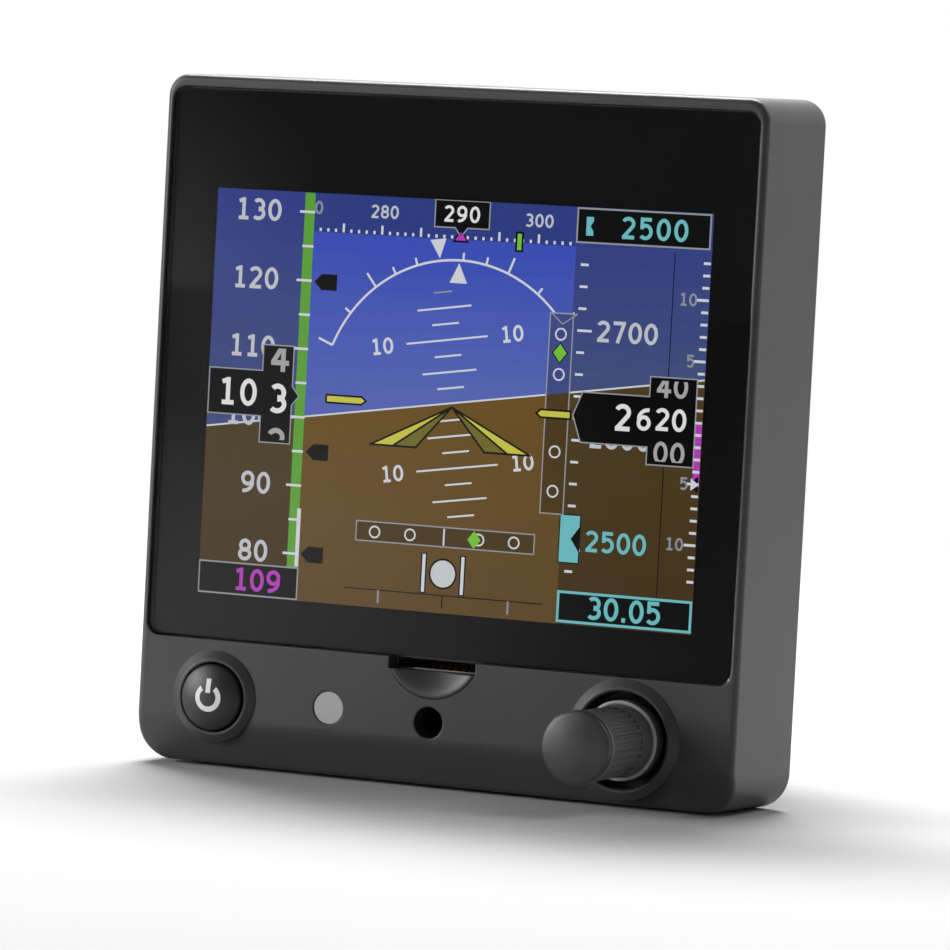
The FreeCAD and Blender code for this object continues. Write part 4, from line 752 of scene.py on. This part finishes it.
CYAN_BUG = [
    (-1.35, 3.0), (-1.35, -3.0), (1.35, -3.0), (1.35, -1.6), (0.2, 0), (1.35, 1.6), (1.35, 3.0),
]
cyan = Plates()
cyan.number("2500", 27.3, 24.3, 2.85, 5, pitch=0.85)
cyan.number("30.05", 25.85, -24.3, 3.0, 5, pitch=0.78)
cyan.number("2500", 24.2, -15.8, FEET_TALL, 2)
cyan.frame(*PRESSURE_BOX, 0.34, 5)
cyan.shape(CYAN_BUG, 4, 0, 17.75, -15.7)
cyan.shape([(x * 0.37, z * 0.4) for x, z in CYAN_BUG], 5, 0, 18.3, 24.25)
cyan.make("cyan_marks", "#6bbabf")

magenta = Plates()
magenta.number("109", -26.65, -24.45, 3.0, 5)
magenta.bar(34.75, -3.9, 0.9, 8.0, 3)
magenta.shape([(0, 0.65), (-0.8, -0.5), (0.8, -0.5)], 5, 0, 0.25, 22.0)
magenta.make("magenta_marks", "#b03cb8")

# yellow aircraft symbol: a lit and a shaded half to each wing, with dark lines between them
APEX, EDGE_LINE = (0.24, 0.0), 0.26
edge = Plates()
gold = Plates()
olive = Plates()
for side in (-1, 1):
    outer, inner, split = (side * 11.4, -5.5), (side * 4.9, -5.5), (side * 8.2, -5.5)
    for plates, corners in ((gold, [(0, 0), outer, split]), (olive, [(0, 0), split, inner])):
        plates.shape(corners[::side], 4, 0, *APEX)
        edge.edges(corners, EDGE_LINE, 5, *APEX)
LEFT_BAR = [(-17.9, 0.5), (-17.9, -0.5), (-12.8, -0.5), (-12.1, 0), (-12.8, 0.5)]
RIGHT_BAR = [(12.2, 0.05), (12.8, -0.45), (17.0, -0.45), (17.0, 0.55), (12.8, 0.55)]
for corners in (LEFT_BAR, RIGHT_BAR):
    gold.shape(corners, 4)
    edge.edges(corners, EDGE_LINE, 5)
edge.make("symbol_edge", "#14130a")
gold.make("symbol_gold", "#c6c24a")
olive.make("symbol_olive", "#6f6a2a")

# printed border just behind the glass, with a window for the picture
glass_low, glass_high, _ = place_of("cover_glass")
GLASS_CORNER, GLASS_EDGE = 1.7, 0.14
INK_FRONT = CELL_FRONT - 0.06
INK_MARGIN = 0.12
PANE_BACK = INK_FRONT - 0.01


def rounded_face(bm, deep, left, right, low, high, corner):
    """A flat face with rounded corners, at the depth deep."""
    corners = ((left, low), (right, low), (right, high), (left, high))
    face = bm.faces.new([bm.verts.new((x, deep, z)) for x, z in corners])
    if corner:
        bmesh.ops.bevel(
            bm, geom=face.verts[:], offset=corner, affect="VERTICES", segments=8, profile=0.5,
            material=-1,
        )
        bm.faces.ensure_lookup_table()
        face = bm.faces[-1]
    return face


border = bmesh.new()
ink = rounded_face(
    border, INK_FRONT, glass_low.x + INK_MARGIN, glass_high.x - INK_MARGIN,
    glass_low.z + INK_MARGIN, glass_high.z - INK_MARGIN, GLASS_CORNER - INK_MARGIN,
)
outside = ink.edges[:]
bmesh.ops.delete(border, geom=[ink], context="FACES_ONLY")
left, right = (PICTURE_MIDDLE[0] + side * HALF_WIDE for side in (-1, 1))
low, high = (PICTURE_MIDDLE[1] + side * HALF_TALL for side in (-1, 1))
window = rounded_face(border, INK_FRONT, left, right, low, high, 0)
inside = window.edges[:]
bmesh.ops.delete(border, geom=[window], context="FACES_ONLY")
bmesh.ops.triangle_fill(border, edges=outside + inside, use_beauty=True)
thicken(border, border.faces[:], PLATE)
bmesh.ops.recalc_face_normals(border, faces=border.faces)
piece("glass_border", border, black_ink)

# the clear pane, with ground edges, just in front of its print
pane = bmesh.new()
front_face = rounded_face(
    pane, glass_low.y, glass_low.x, glass_high.x, glass_low.z, glass_high.z, GLASS_CORNER,
)
thicken(pane, [front_face], PANE_BACK - glass_low.y)
rim = [edge for edge in pane.edges if all(abs(v.co.y - glass_low.y) < MERGE for v in edge.verts)]
bmesh.ops.bevel(
    pane, geom=rim, offset=GLASS_EDGE, affect="EDGES", segments=2, profile=0.5, material=-1,
)
bmesh.ops.recalc_face_normals(pane, faces=pane.faces)
piece("clear_pane", pane, cover_glass, stands_for=("cover_glass",))


# ------------------------------------------------------------------ turned shapes of the controls
def turned(outline, middle):
    """Turns an outline of (radius, depth) points about middle: it ends on the axis, or is a loop."""
    bm = bmesh.new()
    verts = [bm.verts.new((radius, deep, 0)) for radius, deep in outline]
    for pair in zip(verts, verts[1:]):
        bm.edges.new(pair)
    if outline[0] == outline[-1]:
        bmesh.ops.remove_doubles(bm, verts=verts, dist=MERGE)
    bmesh.ops.spin(
        bm, geom=bm.verts[:] + bm.edges[:], cent=(0, 0, 0), axis=(0, -1, 0), angle=math.tau,
        steps=TURN_STEPS, use_merge=True,
    )
    bmesh.ops.remove_doubles(bm, verts=bm.verts, dist=MERGE)
    bmesh.ops.translate(bm, verts=bm.verts, vec=(middle.x, 0, middle.z))
    bmesh.ops.recalc_face_normals(bm, faces=bm.faces)
    return bm


def domed_front(radius, sphere, corner, front):
    """The outline of a shallow dome with a rounded edge, from the axis to the side."""
    centre = radius - corner
    sphere_deep = front + sphere
    corner_deep = sphere_deep - math.sqrt((sphere - corner) ** 2 - centre**2)
    tilt = math.asin(centre / (sphere - corner))
    dome = [tilt * step / DOME_STEPS for step in range(DOME_STEPS + 1)]
    edge = [tilt + (math.pi / 2 - tilt) * step / EDGE_STEPS for step in range(1, EDGE_STEPS + 1)]
    return [(sphere * math.sin(a), sphere_deep - sphere * math.cos(a)) for a in dome] + [
        (centre + corner * math.sin(a), corner_deep - corner * math.cos(a)) for a in edge
    ]


def bead(radius, deep, thick):
    """The outline of a thin round ring."""
    angles = [math.tau * step / BEAD_STEPS for step in range(BEAD_STEPS)]
    ring = [(radius + thick * math.cos(angle), deep + thick * math.sin(angle)) for angle in angles]
    return ring + ring[:1]


TURN_STEPS, DOME_STEPS, EDGE_STEPS, BEAD_STEPS = 96, 12, 6, 12
knob_middle = place_of("knob")[2]
CAP_RADIUS, CAP_DOME, CAP_ROUND, CAP_BACK = 4.7, 0.6, 0.5, -31.9
cap_sphere = (CAP_RADIUS**2 / CAP_DOME + CAP_DOME) / 2
cap = domed_front(CAP_RADIUS, cap_sphere, CAP_ROUND, place_of("knob_cap")[0].y)
cap += [(CAP_RADIUS, CAP_BACK), (0, CAP_BACK)]
piece(
    "satin_cap", turned(cap, knob_middle), cap_plastic, body="knob",
    smooth=35, stands_for=("knob_cap",),
)

# soft-edged lining of the finger scoop under the card slot
SCOOP_SPHERE, SCOOP_RADIUS, SCOOP_RISE, SCOOP_ACROSS, SCOOP_LIP = 12.0, 6.9, 3.48, 0.1, 0.18
SCOOP_SOFT, SCOOP_SKIN, SCOOP_STEPS, SCOOP_INSIDE, SCOOP_UNDER = 5.0, 0.05, 16, 0.4, 0.01
CHIN_FRONT = -18.2
SOCKET_WALL = 0.16
scoop_low = place_of("card_socket")[0].z + SOCKET_WALL


def scoop_deep(radius):
    """How deep the ball-shaped scoop is at a distance from its middle."""
    rim = math.sqrt(SCOOP_SPHERE**2 - SCOOP_RADIUS**2)
    return max(0, math.sqrt(SCOOP_SPHERE**2 - radius**2) - rim)


def soft_deep(radius):
    """The same, with a rim that rolls gently into the face round it."""
    way = min(1, max(0, (SCOOP_RADIUS - radius) / SCOOP_SOFT))
    return scoop_deep(radius) * way * (2 - way)


reach_from = SCOOP_RISE - SCOOP_INSIDE
reach_by = (SCOOP_RADIUS - reach_from) / SCOOP_STEPS
reaches = [reach_from + reach_by * step for step in range(SCOOP_STEPS + 1)]
reaches.append(SCOOP_RADIUS + SCOOP_LIP)
skin = [(radius, CHIN_FRONT + soft_deep(radius) - SCOOP_SKIN / 10) for radius in reaches]
skin += [(radius, CHIN_FRONT + scoop_deep(radius) + SCOOP_SKIN) for radius in reversed(reaches)]
lining = turned(skin + skin[:1], Vector((SCOOP_ACROSS, 0, scoop_low + SCOOP_RISE)))
bmesh.ops.bisect_plane(
    lining, geom=lining.verts[:] + lining.edges[:] + lining.faces[:], dist=MERGE,
    plane_co=(0, 0, scoop_low - SCOOP_UNDER), plane_no=(0, 0, 1), clear_outer=True,
)
bmesh.ops.holes_fill(lining, edges=[edge for edge in lining.edges if edge.is_boundary])
bmesh.ops.recalc_face_normals(lining, faces=lining.faces)
piece("scoop_lining", lining, bezel_plastic, smooth=40)

# beads round the skirt and behind the cap, pale grey as a painted highlight
for name, ring in (("skirt_bead_painted_highlight", bead(4.88, -19.2, 0.27)), ("cap_bead_painted_highlight", bead(4.48, -31.76, 0.2))):
    piece(name, turned(ring, knob_middle), painted_highlight_bead, body="knob", smooth=60)

# ------------------------------------------------------------------ power key and its symbol
key_low, key_high, key_middle = place_of("power_key")
KEY_RADIUS, KEY_DOME, KEY_ROUND, KEY_FLANGE, KEY_FLANGE_THICK = 4.35, 0.95, 0.4, 5.2, 0.8
dome_sphere = (KEY_RADIUS**2 / KEY_DOME + KEY_DOME) / 2
key_top = domed_front(KEY_RADIUS, dome_sphere, KEY_ROUND, key_low.y)
key_top += [
    (KEY_RADIUS, key_high.y - KEY_FLANGE_THICK), (KEY_FLANGE, key_high.y - KEY_FLANGE_THICK),
    (KEY_FLANGE, key_high.y), (0, key_high.y),
]
piece(
    "painted_key", turned(key_top, key_middle), key_plastic, body="power_key",
    smooth=35, stands_for=("power_key",),
)
# a broken ring and an upright bar, which follow the dome and stand a hair above it
SYMBOL_RADIUS, SYMBOL_LINE, SYMBOL_TALL, SYMBOL_GAP = 1.52, 0.68, 0.03, 38
SYMBOL_BAR, SYMBOL_SINK = (1.56, 1.86), 0.006
symbol = bmesh.new()
ring_start = Matrix.Rotation(math.radians(-(90 + SYMBOL_GAP)), 4, "Y")
verts = [
    symbol.verts.new(ring_start @ Vector((SYMBOL_RADIUS + x * SYMBOL_LINE, y * SYMBOL_TALL, 0)))
    for x, y in ((-0.5, -0.5), (0.5, -0.5), (0.5, 0.5), (-0.5, 0.5))
]
face = symbol.faces.new(verts)
bmesh.ops.spin(
    symbol, geom=[*verts, *face.edges, face], cent=(0, 0, 0), axis=(0, -1, 0),
    angle=math.radians(360 - 2 * SYMBOL_GAP), steps=44,
)
bar_up, bar_tall = SYMBOL_BAR
upright = Matrix.Translation((0, 0, bar_up)) @ Matrix.Diagonal((SYMBOL_LINE, SYMBOL_TALL, bar_tall, 1))
made = bmesh.ops.create_cube(symbol, size=1.0, matrix=upright)["verts"]
bar_edges = dict.fromkeys(edge for vert in made for edge in vert.link_edges)
long_edges = [e for e in bar_edges if abs(e.verts[0].co.z - e.verts[1].co.z) > SYMBOL_LINE]
bmesh.ops.subdivide_edges(symbol, edges=long_edges, cuts=8, use_grid_fill=True)
for vert in symbol.verts:
    reach = math.hypot(vert.co.x, vert.co.z)
    drop = dome_sphere - math.sqrt(dome_sphere**2 - reach**2)
    vert.co.y += key_low.y + drop - SYMBOL_TALL / 2 + SYMBOL_SINK
bmesh.ops.translate(symbol, verts=symbol.verts, vec=(key_middle.x, 0, key_middle.z))
bmesh.ops.recalc_face_normals(symbol, faces=symbol.faces)
piece("power_symbol", symbol, symbol_paint, body="power_key", smooth=40)

# ------------------------------------------------------------------ floor, lights and camera
floor_mesh = bpy.data.meshes.new("floor")
floor_bm = bmesh.new()
FLOOR_HALF, FLOOR_GAP = 3.0, 0.00002
bmesh.ops.create_grid(floor_bm, x_segments=1, y_segments=1, size=FLOOR_HALF)
bmesh.ops.translate(floor_bm, verts=floor_bm.verts, vec=(0, 0, CAD_BOX[0].z - FLOOR_GAP))
floor_bm.to_mesh(floor_mesh)
floor_bm.free()
floor = bpy.data.objects.new("floor", floor_mesh)
bpy.context.scene.collection.objects.link(floor)
paper = bpy.data.materials.new("white_paper_sweep")
paper.use_nodes = True
tree = paper.node_tree
tree.nodes.clear()
# matt white paper near the object, which fades to plain white for the camera further away;
# reaches are in metres from the object's middle
MATT_REACH = (0.25, 0.6)
SHADE_WAY, SHADE_REACH, SHADE_TONES = (1.0, -0.45, 0.0), (-0.06, 0.06), (0.4, 0.06)
FAR_REACH, FAR_TONES = (0.3, 1.2), (1.0, 0.45)
FRONT_WAY, FRONT_REACH = (0.0, -1.0, 0.0), (0.1, 0.2)
matt = add(tree, "ShaderNodeBsdfDiffuse", {"Color": linear("#c4c4c4")})
bright = add(tree, "ShaderNodeEmission", {"Color": linear("#ffffff"), "Strength": 1.0})
where = add(tree, "ShaderNodeTexCoord").outputs["Object"]
reach = add(tree, "ShaderNodeVectorMath", {0: where}, operation="LENGTH").outputs["Value"]
mirrors, looks = light_paths(tree)
seen = combine(tree, "MULTIPLY", ramp(tree, reach, *MATT_REACH, kind="SMOOTHSTEP"), looks)
paper_inputs = {"Fac": seen, 1: matt.outputs["BSDF"], 2: bright.outputs["Emission"]}
paper_shader = add(tree, "ShaderNodeMixShader", paper_inputs).outputs["Shader"]
# painted reflection: in front of the object, gloss and glass mirror a glow in place of the floor,
# which darkens in front, to the right and further away
tone = ramp(tree, along(tree, where, SHADE_WAY), *SHADE_REACH, *SHADE_TONES, "SMOOTHSTEP")
strength = combine(tree, "MULTIPLY", tone, ramp(tree, reach, *FAR_REACH, *FAR_TONES))
mirrored_floor_glow = add(tree, "ShaderNodeEmission", {"Color": linear("#ffffff"), "Strength": strength})
in_front = ramp(tree, along(tree, where, FRONT_WAY), *FRONT_REACH, kind="SMOOTHSTEP")
share = combine(tree, "MULTIPLY", mirrors, in_front)
floor_shader = add(
    tree, "ShaderNodeMixShader", {"Fac": share, 1: paper_shader, 2: mirrored_floor_glow.outputs["Emission"]},
)
add(tree, "ShaderNodeOutputMaterial", {"Surface": floor_shader.outputs["Shader"]})
floor_mesh.materials.append(paper)

world = bpy.data.worlds.new("pale_studio")
bpy.context.scene.world = world
world.use_nodes = True
tree = world.node_tree
tree.nodes.clear()
# the room lights the object a little all round; gloss and glass mirror it as white, with a dark
# part in front, up and to the right; the camera sees plain white
ROOM_LIGHT = 0.2
DARK_WAY = Vector((0.45, -0.65, 0.6)).normalized()
DARK_EDGE, MIRROR_TONES = (0.29, 0.39), (1.0, 0.05)
mirrors, looks = light_paths(tree)
facing = along(tree, add(tree, "ShaderNodeTexCoord").outputs["Generated"], DARK_WAY)
mirrored = ramp(tree, facing, *DARK_EDGE, *MIRROR_TONES, "SMOOTHSTEP")
lit = add(tree, "ShaderNodeMix", {"Factor": mirrors, "A": ROOM_LIGHT, "B": mirrored}).outputs["Result"]
shown = add(tree, "ShaderNodeMix", {"Factor": looks, "A": lit, "B": 1.0}).outputs["Result"]
sky = add(tree, "ShaderNodeBackground", {"Color": linear("#ffffff"), "Strength": shown})
add(tree, "ShaderNodeOutputWorld", {"Surface": sky.outputs["Background"]})

# a strong soft light behind and above, a weak one low in front, and a faint one by the right side
for name, spot, wide, tall, watts in (
    ("top_softbox", (-0.27, 0.46, 0.9), 0.7, 0.4, 23.0),
    ("front_softbox", (-0.95, -0.75, 0.27), 0.6, 0.5, 9.0),
    ("side_softbox", (0.36, 0.12, 0.36), 0.2, 0.2, 0.55),
):
    lamp = bpy.data.lights.new(name, "AREA")
    lamp.shape = "RECTANGLE"
    lamp.size, lamp.size_y, lamp.energy = wide, tall, watts
    holder = bpy.data.objects.new(name, lamp)
    holder.location = spot
    holder.rotation_euler = (-Vector(spot)).to_track_quat("-Z", "Y").to_euler()
    bpy.context.scene.collection.objects.link(holder)

# a long lens, a little above the object and to its right
VIEW_FROM = (0.30727, -0.66821, 0.0311)
VIEW_TO, VIEW_UP = Vector((-0.42138, 0.90552, -0.04972)), Vector((-0.06906, 0.02263, 0.99736))
SENSOR_WIDE, FOCAL_LENGTH, NEAREST = 36.0, 211.8, 0.01
lens = bpy.data.cameras.new("camera")
lens.sensor_width, lens.lens, lens.clip_start = SENSOR_WIDE, FOCAL_LENGTH, NEAREST
camera = bpy.data.objects.new("camera", lens)
forward = VIEW_TO.normalized()
right = forward.cross(VIEW_UP).normalized()
aim = Matrix((right, right.cross(forward), -forward)).transposed().to_4x4()
camera.matrix_world = Matrix.Translation(VIEW_FROM) @ aim
bpy.context.scene.collection.objects.link(camera)
bpy.context.scene.camera = camera
bpy.context.scene.view_settings.view_transform = "Standard"
